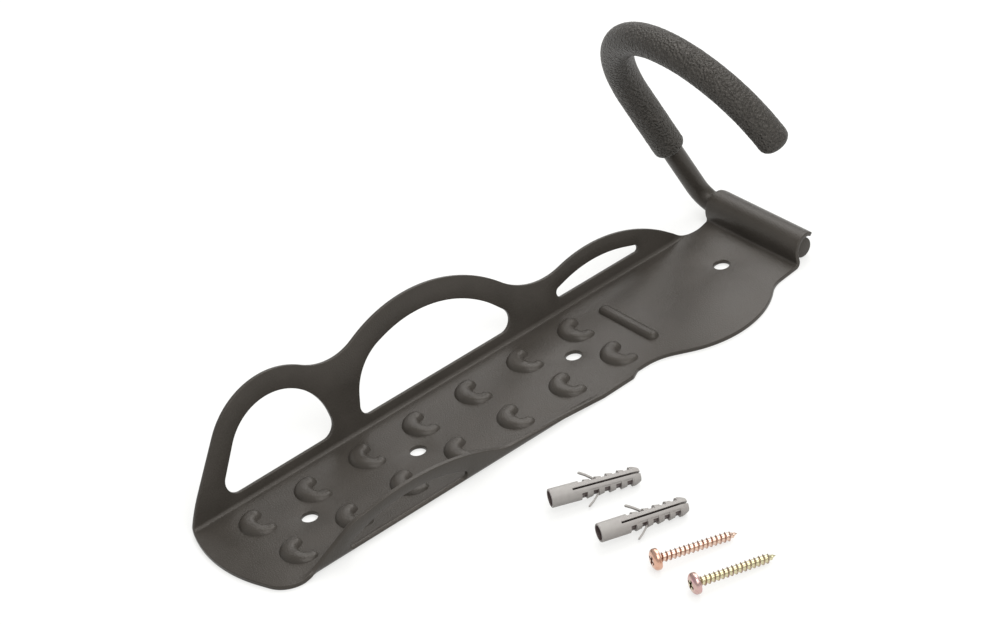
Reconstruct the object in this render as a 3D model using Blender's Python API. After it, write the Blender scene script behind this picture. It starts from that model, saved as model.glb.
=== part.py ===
"""A bike wall bracket: a pressed steel plate with two wheel guides, and a hook with a foam sleeve.

Lengths are in millimetres here and become metres in make_object. The plate lies on its back: +Y is up the
wall, +Z points away from the wall, and the origin is on the rear face between the outer screw holes.
"""

import math

import bmesh
import bpy
from mathutils import Matrix, Vector
from mathutils.geometry import delaunay_2d_cdt

MM = 0.001
FIT = 0.3

# Sheet and folds
SHEET = 2.0
FOLD_X = 30.0
FOLD_DEG = 80.0
FOLD_RADIUS = 3.0
RIGHT_FOLD_FADES = ((-148.6, -139.6), (0.4, 22.0))
LEFT_FOLD_FADES = ((-190.0, -180.0), (118.0, 132.0))

# Outline of the blank, anticlockwise: x, y, radius, and 1 for a bulge or -1 for a hollow
LOWER_END = (-3.0, -92.4, 72.2, 1)
RIGHT_EDGE = (
    (20.6, -147.0, 13.0, 1),
    (47.9, -146.6, 14.0, -1),
    (23.8, -111.6, 25.0, 1),
    (-49.0, -90.1, 100.2, 1),
    (57.9, -30.6, 22.0, -1),
    (32.0, 35.9, 1.6, 1),
    (33.9, 42.0, 3.0, -1),
    (55.9, 46.4, 25.0, -1),
    (-0.8, 89.9, 46.0, 1),
    (44.9, 130.3, 15.0, -1),
    (21.8, 134.8, 7.4, 1),
)
ARCH_TOP = (16.5, 73.0, 70.4, 1)
ARCH_MIDDLE = (-10.4, -25.4, 70.2, 1)
ARCH_BOTTOM = (-44.1, -105.0, 37.6, 1)
VALLEY_TOP_RADIUS = 33.5
VALLEY_BOTTOM_RADIUS = 27.2
NECK_LEFT = (-45.8, 131.2, 14.8, -1)

# Openings in the folded sides, each a belt around circles
WINDOWS = (
    ((-44.5, -105.1, 26.9, 1), (-43.5, -130.9, 6.0, 1), (-44.6, -85.0, 6.9, 1)),
    ((-41.4, -36.3, 26.3, 1), (-42.1, -58.8, 4.4, 1), (-43.7, 16.6, 6.1, 1), (-12.5, -24.4, 57.4, 1)),
    ((-40.8, 52.3, 2.5, 1), (-40.0, 96.9, 1.8, 1), (16.1, 72.4, 62.7, 1)),
    ((35.7, -120.2, 2.5, 1), (-18.3, -90.6, 64.0, 1), (35.7, -60.9, 2.5, 1)),
)
SCREW_HOLE_Y = (-119.3, -59.6, 29.9, 119.3)
SCREW_HOLE_RADIUS = 3.65

# Pressed crescents and bar
DIMPLE_ROWS = 7
DIMPLE_FIRST_Y = -135.5
DIMPLE_PITCH = 30.0
DIMPLE_COLUMNS = (-13.6, 16.1)
DIMPLE_HEIGHT = 2.3
DIMPLE_ARC = (6.3, 5.2)
DIMPLE_OVERRUN = 3.0
DIMPLE_HALF_WIDTH = (3.9, 4.4, 3.2)
DIMPLE_END_FALL = 0.4
BAR_CENTRE = (1.0, 61.8)
BAR_LENGTH = 38.5
BAR_HALF_WIDTH = 3.2
BAR_HEIGHT = 2.2

# Curl around the rod
CREASE_Y = 139.0
CREASE_RADIUS = 2.2
ROD_RADIUS = 5.0
CURL_GAP = 1.1
CURL_RADIUS = ROD_RADIUS + CURL_GAP + SHEET / 2
CURL_TURN = 135.0
ROD_Z = ROD_RADIUS + FIT
ROD_Y = CREASE_Y + CREASE_RADIUS + CURL_RADIUS
WALL_RISE = ROD_Z - SHEET / 2 - CREASE_RADIUS
CURL_STARTS = CREASE_RADIUS * math.pi / 2 + WALL_RISE
CURL_LENGTH = CURL_STARTS + CURL_RADIUS * math.radians(CURL_TURN)
TONGUE_RIGHT = 27.6
TONGUE_RIGHT_ROUND = 16.0
TONGUE_ROUND_STARTS = 3.3
TONGUE_TIP = 25.3
TONGUE_TIP_ROUND = 0.5
TONGUE_LEFT = -33.8
TONGUE_LEFT_ROUND = 3.5
TONGUE_FOOT_ROUND = 3.0

# Hook, in its own plane: across is along X, height is from the rod's axis
ROD_END_X = 23.9
ELBOW_X = 32.8
ELBOW_RADIUS = 10.8
SHANK_LEAN = 6.3
SHANK_LENGTH = 61.4
ARCH_RADIUS = 52.8
ARCH_TURN = 170.2
HOOK_TILT = -20.4
ROD_EDGE = 0.5
FOAM_RADIUS = 7.65
FOAM_TIP_RADIUS = 7.4
FOAM_START = 37.3
FOAM_TIP = 3.5
FOAM_TIP_WALL = 4.5
FOAM_LIP = 1.6

# Welds on the rear of the curl
WELD_LENGTH = 14.0
WELD_INSET = 8.0
WELD_HEIGHT = 1.86
WELD_TURN = 24.0
WELD_END_SLIM = 0.75

# Wall plugs, lying beside the plate: x, y and heading in degrees
PLUG_SPOTS = ((78.2, -48.7, 21.0), (112.7, -51.0, 16.6))
PLUG_ROLL = 36.0
PLUG_PITCH = 4.0
PLUG_RADIUS = 4.15
PLUG_LENGTH = 40.0
PLUG_CHAMFER = 0.25
PLUG_NOSE_LENGTH = 3.4
PLUG_NOSE_RADIUS = 2.9
PLUG_BORE = 3.3
PLUG_BORE_END = 1.2
PLUG_BORE_DEPTH = 34.0
PLUG_SLOT = 0.9
PLUG_SLOT_STARTS = 9.6
PLUG_FINS = 5
PLUG_FIRST_STEP = 15.7
PLUG_FIN_PITCH = 5.05
PLUG_POCKET_LENGTH = 2.5
PLUG_POCKET_DEPTH = 1.0

# Barbs of a plug, each from its foot to its end: distance along, distance from the axis
BARB_FOOT = (21.2, 2.6)
BARB_END = (15.0, 7.9)
BARB_THICK = 0.85
BARB_WIDE = 1.5

# Screws, lying beside the plate
SCREW_SPOTS = ((142.1, -47.8, 16.7), (166.6, -48.1, 14.7))
SCREW_ROLL = 20.0
SCREW_LENGTH = 38.8
HEAD_RADIUS = 4.65
HEAD_HEIGHT = 3.1
HEAD_DOME = 1.75
HEAD_FACE_RADIUS = 2.0
HEAD_CHAMFER = 0.35
THREAD_RADIUS = 2.25
THREAD_FLANK = 0.6
CORE_RADIUS = 1.6
THREAD_PITCH = 2.04
SCREW_TIP = 4.2
SCREW_POINT = 0.15
RECESS_WIDTH = 1.15
RECESS_SPAN = 4.8
RECESS_DEPTH = 1.9
LIE_CLEARANCE = 0.03

# How finely round forms are divided
PLATE_STEP = 6.0
PLATE_ROW_STEP = 12.0
FOLD_PARTS = 4
CURL_PARTS = (4, 1, 8)
HOLE_PARTS = 20
DIMPLE_STATIONS = 8
DIMPLE_SHARES = (-1.0, -0.55, 0.0, 0.55, 1.0)
DIMPLE_END_PARTS = 4
BAR_SHARES = (-1.0, -0.5, 0.0, 0.5, 1.0)
BAR_END_PARTS = 6
ROD_PARTS = 20
ROD_BEND_DEG = 12.0
PLUG_PARTS = 20
SCREW_PARTS = 16


def clear_scene():
    for obj in list(bpy.data.objects):
        bpy.data.objects.remove(obj, do_unlink=True)


def material(name, colour, roughness, metallic):
    made = bpy.data.materials.new(name)
    made.use_nodes = True
    shader = made.node_tree.nodes["Principled BSDF"]
    shader.inputs["Base Color"].default_value = (*colour, 1.0)
    shader.inputs["Roughness"].default_value = roughness
    shader.inputs["Metallic"].default_value = metallic
    return made


def make_object(name, points, faces, look, smooth_deg=35.0):
    mesh = bpy.data.meshes.new(name)
    mesh.from_pydata([Vector(p) * MM for p in points], [], faces)
    body = bmesh.new()
    body.from_mesh(mesh)
    bmesh.ops.recalc_face_normals(body, faces=body.faces)
    body.to_mesh(mesh)
    body.free()
    for polygon in mesh.polygons:
        polygon.use_smooth = True
    mesh.set_sharp_from_angle(angle=math.radians(smooth_deg))
    mesh.materials.append(look)
    obj = bpy.data.objects.new(name, mesh)
    bpy.context.scene.collection.objects.link(obj)
    return obj


def cut(obj, tool, operation="DIFFERENCE"):
    """Cuts a tool out of an object, or adds it with UNION, and hides the tool."""
    tool.hide_render = True
    tool.display_type = "WIRE"
    modifier = obj.modifiers.new("cut_" + tool.name, "BOOLEAN")
    modifier.operation = operation
    modifier.solver = "EXACT"
    modifier.object = tool


def smooth_step(value):
    value = min(1.0, max(0.0, value))
    return value * value * (3.0 - 2.0 * value)


def nestle(first, second, radius):
    """The hollow circle that touches two bulges, on their left seen from the first to the second."""
    reach_a = first[2] + radius + 0.01
    reach_b = second[2] + radius + 0.01
    gap = Vector((second[0] - first[0], second[1] - first[1]))
    along = (reach_a**2 - reach_b**2 + gap.length_squared) / (2.0 * gap.length)
    aside = math.sqrt(reach_a**2 - along**2)
    way = gap.normalized()
    return (
        first[0] + way.x * along - way.y * aside,
        first[1] + way.y * along + way.x * aside,
        radius,
        -1,
    )


def tangent_way(first, second):
    """The direction of the straight line that leaves the first circle and meets the second."""
    gap = Vector((second[0] - first[0], second[1] - first[1]))
    drop = (first[2] * first[3] - second[2] * second[3]) / gap.length
    return math.atan2(gap.y, gap.x) + math.asin(max(-1.0, min(1.0, drop)))


def belt(circles, step_mm, least=3):
    """A closed loop of points that runs around the circles in turn."""
    loop = []
    for index, circle in enumerate(circles):
        came = tangent_way(circles[index - 1], circle)
        goes = tangent_way(circle, circles[(index + 1) % len(circles)])
        turn = (goes - came) * circle[3]
        turn = (turn + math.pi / 4) % (2.0 * math.pi) - math.pi / 4
        radius = circle[2]
        parts = max(least, math.ceil(abs(turn) * radius / step_mm))
        parts = min(parts, max(least, math.ceil(abs(turn) / math.radians(5.0))))
        for part in range(parts + 1):
            way = came + turn * circle[3] * part / parts
            angle = way - circle[3] * math.pi / 2
            loop.append((circle[0] + radius * math.cos(angle), circle[1] + radius * math.sin(angle)))
    return thin_out(loop, 0.25)


def thin_out(loop, least_mm):
    kept = []
    for point in loop:
        if not kept or math.dist(point, kept[-1]) > least_mm:
            kept.append(point)
    if math.dist(kept[0], kept[-1]) <= least_mm:
        kept.pop()
    return kept


def outline_circles():
    end_y = CREASE_Y + CURL_LENGTH
    round_y = CREASE_Y + CURL_STARTS + TONGUE_ROUND_STARTS
    foot_y = CREASE_Y + CREASE_RADIUS * math.pi / 2 + TONGUE_FOOT_ROUND / 2
    tongue = (
        (TONGUE_RIGHT - TONGUE_RIGHT_ROUND, round_y, TONGUE_RIGHT_ROUND, 1),
        (TONGUE_TIP - TONGUE_TIP_ROUND, end_y - TONGUE_TIP_ROUND, TONGUE_TIP_ROUND, 1),
        (TONGUE_LEFT + TONGUE_LEFT_ROUND, end_y - TONGUE_LEFT_ROUND, TONGUE_LEFT_ROUND, 1),
        (TONGUE_LEFT + TONGUE_FOOT_ROUND, foot_y, TONGUE_FOOT_ROUND, 1),
    )
    valley_top = nestle(ARCH_MIDDLE, ARCH_TOP, VALLEY_TOP_RADIUS)
    valley_bottom = nestle(ARCH_BOTTOM, ARCH_MIDDLE, VALLEY_BOTTOM_RADIUS)
    left_edge = (NECK_LEFT, ARCH_TOP, valley_top, ARCH_MIDDLE, valley_bottom, ARCH_BOTTOM)
    return (LOWER_END, *RIGHT_EDGE, *tongue, *left_edge)


def circle_loop(x, y, radius, parts):
    turns = [2.0 * math.pi * part / parts for part in range(parts)]
    return [(x + radius * math.cos(turn), y + radius * math.sin(turn)) for turn in turns]


def dome(share):
    """Height share of a pressed ridge at this share of its half width."""
    share = min(1.0, abs(share))
    return (1.0 - share**2.4) ** 0.9


def ridge_point(place, share):
    """Centre line point, outward direction and half width of a crescent, share running from 0 to 1."""
    over = math.radians(DIMPLE_OVERRUN)
    angle = math.pi - over + share * (math.pi + 2.0 * over)
    point = Vector((DIMPLE_ARC[0] * math.cos(angle), DIMPLE_ARC[1] * math.sin(angle)))
    out = Vector((math.cos(angle) / DIMPLE_ARC[0], math.sin(angle) / DIMPLE_ARC[1])).normalized()
    middle = 1.0 - abs(2.0 * share - 1.0)
    end_half = DIMPLE_HALF_WIDTH[0] if share < 0.5 else DIMPLE_HALF_WIDTH[2]
    half = end_half + (DIMPLE_HALF_WIDTH[1] - end_half) * smooth_step(middle)
    return Vector(place) + point, out, half


def ridge_height(share):
    """Height of a crescent's crest, which falls towards its right end."""
    return DIMPLE_HEIGHT * (1.0 - DIMPLE_END_FALL * smooth_step((share - 0.6) / 0.4))


def dimple_points(place, stations, shares, ends):
    """Points across a crescent, each with its height."""
    made = []
    for station in range(stations + 1):
        point, out, half = ridge_point(place, station / stations)
        crest = ridge_height(station / stations)
        for share in shares:
            made.append((*(point + out * (half * share)), crest * dome(share)))
    for share_along, side in ((0.0, -1.0), (1.0, 1.0)):
        point, out, half = ridge_point(place, share_along)
        ahead = Vector((-out.y, out.x)) * side
        for share in shares:
            if share <= 0.0:
                continue
            for end in range(1, ends):
                turn = math.pi * end / ends
                way = out * math.cos(turn) + ahead * math.sin(turn)
                made.append((*(point + way * (half * share)), ridge_height(share_along) * dome(share)))
    return made


def bar_points(shares, ends):
    made = []
    reach = BAR_LENGTH / 2 - BAR_HALF_WIDTH
    for side in (-1.0, 1.0):
        for share in shares:
            if share < 0.0:
                continue
            for end in range(ends + 1):
                turn = -math.pi / 2 + math.pi * end / ends
                x = BAR_CENTRE[0] + side * (reach + BAR_HALF_WIDTH * share * math.cos(turn))
                y = BAR_CENTRE[1] + BAR_HALF_WIDTH * share * math.sin(turn)
                made.append((x, y, BAR_HEIGHT * dome(share)))
                if share == 0.0:
                    break
    for share in shares:
        made.append((BAR_CENTRE[0], BAR_CENTRE[1] + BAR_HALF_WIDTH * share, BAR_HEIGHT * dome(share)))
    return made


def dimple_places():
    rows = [DIMPLE_FIRST_Y + DIMPLE_PITCH * row for row in range(DIMPLE_ROWS)]
    return [(x, y) for y in rows for x in DIMPLE_COLUMNS]


def fold_angle(x, y):
    """Full angle of the side fold at this height of the blank."""
    (a, b), (c, d) = RIGHT_FOLD_FADES if x > 0 else LEFT_FOLD_FADES
    share = smooth_step((y - a) / (b - a)) * (1.0 - smooth_step((y - c) / (d - c)))
    return math.radians(FOLD_DEG) * share


FOLD_WIDTH = FOLD_RADIUS * math.radians(FOLD_DEG)


def folded(x, y):
    """Where a point of the flat blank goes across the plate: x and height of the middle of the sheet."""
    beyond = abs(x) - FOLD_X
    angle = fold_angle(x, y)
    if beyond <= 0.0 or angle < 1e-4:
        return x, 0.0
    bend = angle / FOLD_WIDTH
    inside = min(beyond, FOLD_WIDTH)
    out = math.sin(bend * inside) / bend
    up = (1.0 - math.cos(bend * inside)) / bend
    rest = beyond - inside
    out += rest * math.cos(angle)
    up += rest * math.sin(angle)
    return math.copysign(FOLD_X + out, x), up


def curled(y):
    """Where the blank's length goes at the upper end: y and height of the middle of the sheet."""
    run = y - CREASE_Y
    if run <= 0.0:
        return y, 0.0
    quarter = CREASE_RADIUS * math.pi / 2
    if run < quarter:
        turn = run / CREASE_RADIUS
        return CREASE_Y + CREASE_RADIUS * math.sin(turn), CREASE_RADIUS * (1.0 - math.cos(turn))
    if run < CURL_STARTS:
        return CREASE_Y + CREASE_RADIUS, CREASE_RADIUS + run - quarter
    turn = (run - CURL_STARTS) / CURL_RADIUS
    return ROD_Y - CURL_RADIUS * math.cos(turn), ROD_Z - SHEET / 2 + CURL_RADIUS * math.sin(turn)


def on_sheet(x, y, offset, height):
    """A point of the blank on the finished sheet, offset from the middle of its thickness."""
    def middle(bx, by):
        fx, up = folded(bx, by)
        cy, lift = curled(by)
        return Vector((fx, cy, SHEET / 2 + up + lift))

    step = 0.01
    along_x = middle(x + step, y) - middle(x - step, y)
    along_y = middle(x, y + step) - middle(x, y - step)
    normal = along_x.cross(along_y).normalized()
    return middle(x, y) + normal * offset + Vector((0.0, 0.0, height))


def blank_rows(fold_parts, curl_parts, row_step):
    """Lines of points that the folds and the curl need, as (points) lists."""
    rows = []
    low = LOWER_END[1] - LOWER_END[2] - 5.0
    for side, fades in ((-1.0, LEFT_FOLD_FADES), (1.0, RIGHT_FOLD_FADES)):
        high = fades[1][1]
        count = math.ceil((high - low) / row_step)
        for part in range(fold_parts + 1):
            x = side * (FOLD_X + FOLD_WIDTH * part / fold_parts)
            rows.append([(x, low + (high - low) * n / count) for n in range(count + 1)])
    breaks = [0.0, CREASE_RADIUS * math.pi / 2, CURL_STARTS, CURL_LENGTH]
    for start, end, parts in zip(breaks, breaks[1:], curl_parts):
        for part in range(parts):
            y = CREASE_Y + start + (end - start) * part / parts
            rows.append([(-45.0 + 9.0 * n, y) for n in range(11)])
    return rows


def inside_loop(point, loop):
    x, y = point
    odd = False
    for (xa, ya), (xb, yb) in zip(loop, loop[1:] + loop[:1]):
        if (ya > y) != (yb > y) and x < xa + (y - ya) * (xb - xa) / (yb - ya):
            odd = not odd
    return odd


def loop_distance(point, loop):
    least = 1e9
    for a, b in zip(loop, loop[1:] + loop[:1]):
        start = Vector(a)
        run = Vector(b) - start
        share = max(0.0, min(1.0, (Vector(point) - start).dot(run) / run.length_squared))
        least = min(least, (Vector(point) - start - run * share).length)
    return least


def blank_mesh(outline, holes, rows, pressed):
    """Triangles of the flat blank, with the pressed points' heights."""
    points = []
    edges = []

    def add_loop(loop):
        start = len(points)
        points.extend(loop)
        edges.extend((start + n, start + (n + 1) % len(loop)) for n in range(len(loop)))

    for loop in (outline, *holes):
        add_loop(loop)
    for row in rows:
        last = None
        for point in row:
            clear = all(loop_distance(point, loop) > 0.7 for loop in (outline, *holes))
            keep = clear and inside_loop(point, outline) and not any(inside_loop(point, h) for h in holes)
            if not keep:
                last = None
                continue
            points.append(point)
            if last is not None:
                edges.append((last, len(points) - 1))
            last = len(points) - 1
    heights = {}
    for x, y, height in pressed:
        heights[(round(x, 3), round(y, 3))] = height
        points.append((x, y))
    flat, _, faces, _, _, _ = delaunay_2d_cdt([Vector(p) for p in points], edges, [], 0, 1e-3)
    kept = []
    for face in faces:
        middle = sum((flat[n] for n in face), Vector((0.0, 0.0))) / len(face)
        if inside_loop(middle, outline) and not any(inside_loop(middle, hole) for hole in holes):
            kept.append(tuple(face))
    lifts = [heights.get((round(p.x, 3), round(p.y, 3)), 0.0) for p in flat]
    return flat, kept, lifts


def sheet_solid(flat, faces, lifts):
    """Both faces of the sheet and its cut edges, as one closed body."""
    used = sorted({n for face in faces for n in face})
    index = {n: count for count, n in enumerate(used)}
    upper = [on_sheet(*flat[n], SHEET / 2, lifts[n]) for n in used]
    lower = [on_sheet(*flat[n], -SHEET / 2, lifts[n]) for n in used]
    size = len(used)
    made = [tuple(index[n] for n in face) for face in faces]
    skin = list(made)
    skin.extend(tuple(n + size for n in reversed(face)) for face in made)
    sides = {}
    for face in made:
        for a, b in zip(face, face[1:] + face[:1]):
            sides[(a, b)] = (b, a) not in sides
            if not sides[(a, b)]:
                sides[(b, a)] = False
    skin.extend((b, a, a + size, b + size) for (a, b), open_side in sides.items() if open_side)
    return upper + lower, skin


def split_loop(loop, rows):
    """The loop with a point added wherever it crosses one of the straight rows."""
    made = []
    for a, b in zip(loop, loop[1:] + loop[:1]):
        shares = []
        for row in rows:
            axis = 0 if abs(row[0][0] - row[-1][0]) < 1e-6 else 1
            low, high = sorted((row[0][1 - axis], row[-1][1 - axis]))
            level = row[0][axis]
            if abs(a[axis] - b[axis]) < 1e-6 or (a[axis] - level) * (b[axis] - level) >= 0.0:
                continue
            share = (level - a[axis]) / (b[axis] - a[axis])
            other = a[1 - axis] + (b[1 - axis] - a[1 - axis]) * share
            if low <= other <= high:
                shares.append(share)
        made.append(a)
        made.extend((a[0] + (b[0] - a[0]) * s, a[1] + (b[1] - a[1]) * s) for s in sorted(shares))
    return thin_out(made, 0.15)


def build_plate(look):
    rows = blank_rows(FOLD_PARTS, CURL_PARTS, PLATE_ROW_STEP)
    outline = split_loop(belt(outline_circles(), PLATE_STEP), rows)
    windows = [split_loop(belt(circles, PLATE_STEP), rows) for circles in WINDOWS]
    holes = [circle_loop(0.0, y, SCREW_HOLE_RADIUS, HOLE_PARTS) for y in SCREW_HOLE_Y]
    pressed = []
    for place in dimple_places():
        pressed.extend(dimple_points(place, DIMPLE_STATIONS, DIMPLE_SHARES, DIMPLE_END_PARTS))
    pressed.extend(bar_points(BAR_SHARES, BAR_END_PARTS))
    flat, faces, lifts = blank_mesh(outline, windows + holes, rows, pressed)
    points, skin = sheet_solid(flat, faces, lifts)
    return make_object("wall_plate", points, skin, look)


def hook_path():
    """Pieces of the rod's centre line: (length, function of distance) with points in the hook's plane."""
    lean = math.radians(SHANK_LEAN)
    turn = math.pi / 2 - lean
    straight = ROD_END_X + ELBOW_X
    elbow = ELBOW_RADIUS * turn
    arch = ARCH_RADIUS * math.radians(ARCH_TURN)
    bend_end = Vector((-ELBOW_X - ELBOW_RADIUS * math.sin(turn), ELBOW_RADIUS * (1.0 - math.cos(turn))))
    shank_way = Vector((-math.sin(lean), math.cos(lean)))
    shank_end = bend_end + shank_way * SHANK_LENGTH
    centre = shank_end + Vector((ARCH_RADIUS * math.cos(lean), ARCH_RADIUS * math.sin(lean)))

    def foot(run):
        return Vector((ROD_END_X - run, 0.0)), math.pi

    def elbow_at(run):
        angle = run / ELBOW_RADIUS
        point = Vector((-ELBOW_X - ELBOW_RADIUS * math.sin(angle), ELBOW_RADIUS * (1.0 - math.cos(angle))))
        return point, math.pi - angle

    def shank(run):
        return bend_end + shank_way * run, math.pi - turn

    def arch_at(run):
        angle = math.pi + lean - run / ARCH_RADIUS
        point = centre + Vector((math.cos(angle), math.sin(angle))) * ARCH_RADIUS
        return point, angle - math.pi / 2

    return ((straight, foot), (elbow, elbow_at), (SHANK_LENGTH, shank), (arch, arch_at))


def path_point(pieces, run):
    for length, piece in pieces[:-1]:
        if run <= length:
            return piece(run)
        run -= length
    return pieces[-1][1](run)


def in_space(point):
    tilt = math.radians(HOOK_TILT)
    return Vector((point.x, ROD_Y + point.y * math.sin(tilt), ROD_Z + point.y * math.cos(tilt)))


def ring(pieces, run, radius, parts, ahead=0.0):
    """Points around the path at this distance, moved ahead along it."""
    point, way = path_point(pieces, run)
    way_vector = Vector((math.cos(way), math.sin(way)))
    side = Vector((-way_vector.y, way_vector.x))
    centre = in_space(point + way_vector * ahead)
    across = in_space(point + side) - in_space(point)
    out = (in_space(point + way_vector) - in_space(point)).cross(across)
    turns = [2.0 * math.pi * n / parts for n in range(parts)]
    return [centre + across * (radius * math.cos(t)) + out * (radius * math.sin(t)) for t in turns]


def tube_faces(rings, parts):
    faces = []
    for level in range(rings - 1):
        for n in range(parts):
            a = level * parts + n
            b = level * parts + (n + 1) % parts
            faces.append((a, b, b + parts, a + parts))
    return faces


def capped(rings):
    """A closed body from rings of equal size, with a flat face at either end."""
    parts = len(rings[0])
    faces = tube_faces(len(rings), parts)
    last = (len(rings) - 1) * parts
    faces.append(tuple(reversed(range(parts))))
    faces.append(tuple(range(last, last + parts)))
    return [point for level in rings for point in level], faces


def path_stops(pieces, bend_deg):
    """Distances along the path where a ring is needed."""
    straight, elbow, shank, arch = (length for length, _ in pieces)
    stops = [0.0, straight]
    parts = math.ceil(math.degrees(elbow / ELBOW_RADIUS) / bend_deg)
    stops.extend(straight + elbow * (n + 1) / parts for n in range(parts))
    start = straight + elbow + shank
    parts = math.ceil(ARCH_TURN / bend_deg * 1.4)
    stops.extend(start + arch * n / parts for n in range(parts + 1))
    return stops


def bore_end(pieces):
    """Distance along the path where the foam's bore ends."""
    return sum(length for length, _ in pieces) + FOAM_TIP - FOAM_TIP_WALL


def build_rod(look):
    pieces = hook_path()
    stops = path_stops(pieces, ROD_BEND_DEG)
    stops[-1] = bore_end(pieces) - FIT
    rings = [ring(pieces, stops[0], ROD_RADIUS - ROD_EDGE, ROD_PARTS)]
    rings.append(ring(pieces, stops[0] + ROD_EDGE, ROD_RADIUS, ROD_PARTS))
    rings.extend(ring(pieces, run, ROD_RADIUS, ROD_PARTS) for run in stops[1:-1])
    rings.append(ring(pieces, stops[-1] - ROD_EDGE, ROD_RADIUS, ROD_PARTS))
    rings.append(ring(pieces, stops[-1], ROD_RADIUS - ROD_EDGE, ROD_PARTS))
    points, faces = capped(rings)
    return make_object("hook_rod", points, faces, look)


def build_foam(look):
    """The sleeve, a little thinner towards its tip."""
    pieces = hook_path()
    straight, elbow, _, _ = (length for length, _ in pieces)
    total = sum(length for length, _ in pieces)
    start = straight + elbow + FOAM_START - ELBOW_RADIUS
    middle = [run for run in path_stops(pieces, ROD_BEND_DEG) if run > start + 2.0 * FOAM_LIP]
    bore = ROD_RADIUS + FIT
    inner = [start, *middle[:-1], bore_end(pieces)]
    rings = [ring(pieces, run, bore, ROD_PARTS) for run in reversed(inner)]
    rings.append(ring(pieces, start, bore + (FOAM_RADIUS - bore) * 0.3, ROD_PARTS))
    rings.append(ring(pieces, start + FOAM_LIP * 0.35, FOAM_RADIUS - FOAM_LIP * 0.25, ROD_PARTS))
    rings.append(ring(pieces, start + FOAM_LIP, FOAM_RADIUS, ROD_PARTS))
    for run in middle:
        share = (run - start) / (total - start)
        radius = FOAM_RADIUS + (FOAM_TIP_RADIUS - FOAM_RADIUS) * share
        rings.append(ring(pieces, run, radius, ROD_PARTS))
    for part in (1, 2, 3):
        turn = math.radians(30.0) * part
        inset = FOAM_TIP * (1.0 - math.cos(turn))
        rings.append(ring(pieces, total, FOAM_TIP_RADIUS - inset, ROD_PARTS, FOAM_TIP * math.sin(turn)))
    points, faces = capped(rings)
    return make_object("foam_grip", points, faces, look)


def build_weld(name, from_x, look):
    """A bead between the curl's free edge and the rod, with a rounded top."""
    near = ROD_RADIUS + FIT
    edge = 180.0 - CURL_TURN - math.degrees(FIT / near)
    section = []
    for share in (0.0, 0.33, 0.67, 1.0):
        angle = math.radians(edge - WELD_TURN * share)
        section.append((near * math.cos(angle), near * math.sin(angle)))
    for share in (0.8, 0.55, 0.3, 0.0):
        angle = math.radians(edge - WELD_TURN * share)
        rise = near + WELD_HEIGHT * math.sqrt(1.0 - share * share)
        section.append((rise * math.cos(angle), rise * math.sin(angle)))
    rings = []
    for share in (0.0, 0.06, 0.5, 0.94, 1.0):
        x = from_x + WELD_LENGTH * share
        slim = WELD_END_SLIM if share in (0.0, 1.0) else 1.0
        middle_y = sum(y for y, _ in section) / len(section)
        middle_z = sum(z for _, z in section) / len(section)
        level = []
        for y, z in section:
            point_y = ROD_Y + middle_y + (y - middle_y) * slim
            point_z = ROD_Z + middle_z + (z - middle_z) * slim
            level.append(Vector((x, point_y, point_z)))
        rings.append(level)
    points, faces = capped(rings)
    return make_object(name, points, faces, look)


def turned(profile, parts):
    """A closed body turned around its own +Y axis, from (distance along, radius) pairs."""
    rings = []
    for along, radius in profile:
        turns = [2.0 * math.pi * n / parts for n in range(parts)]
        rings.append([Vector((radius * math.cos(t), along, radius * math.sin(t))) for t in turns])
    return capped(rings)


def box(name, centre, size, turn_deg=0.0):
    """A block turned about its own Z axis."""
    turn = Matrix.Rotation(math.radians(turn_deg), 3, "Z")
    corners = [Vector((x, y, z)) for x in (-0.5, 0.5) for y in (-0.5, 0.5) for z in (-0.5, 0.5)]
    points = [Vector(centre) + turn @ (corner * Vector(size)) for corner in corners]
    faces = [(0, 1, 3, 2), (4, 6, 7, 5), (0, 4, 5, 1), (2, 3, 7, 6), (0, 2, 6, 4), (1, 5, 7, 3)]
    mesh = bpy.data.meshes.new(name)
    mesh.from_pydata([p * MM for p in points], [], faces)
    body = bmesh.new()
    body.from_mesh(mesh)
    bmesh.ops.recalc_face_normals(body, faces=body.faces)
    body.to_mesh(mesh)
    body.free()
    obj = bpy.data.objects.new(name, mesh)
    bpy.context.scene.collection.objects.link(obj)
    return obj


def barb(name, side):
    """A slim strip that leans out of a plug towards its mouth."""
    ahead = BARB_END[0] - BARB_FOOT[0]
    aside = side * (BARB_END[1] - BARB_FOOT[1])
    centre = (side * (BARB_FOOT[1] + BARB_END[1]) / 2, (BARB_FOOT[0] + BARB_END[0]) / 2, 0.0)
    size = (math.hypot(ahead, aside), BARB_THICK, BARB_WIDE)
    return box(name, centre, size, math.degrees(math.atan2(ahead, aside)))


def lay(objects, x, y, z, heading, pitch, roll):
    """Moves objects drawn along +Y at the origin to their place on the floor."""
    turn = Matrix.Rotation(math.radians(-heading), 4, "Z")
    turn = turn @ Matrix.Rotation(math.radians(pitch), 4, "X")
    turn = turn @ Matrix.Rotation(math.radians(roll), 4, "Y")
    place = Matrix.Translation(Vector((x, y, z)) * MM)
    for obj in objects:
        obj.matrix_world = place @ turn


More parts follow.
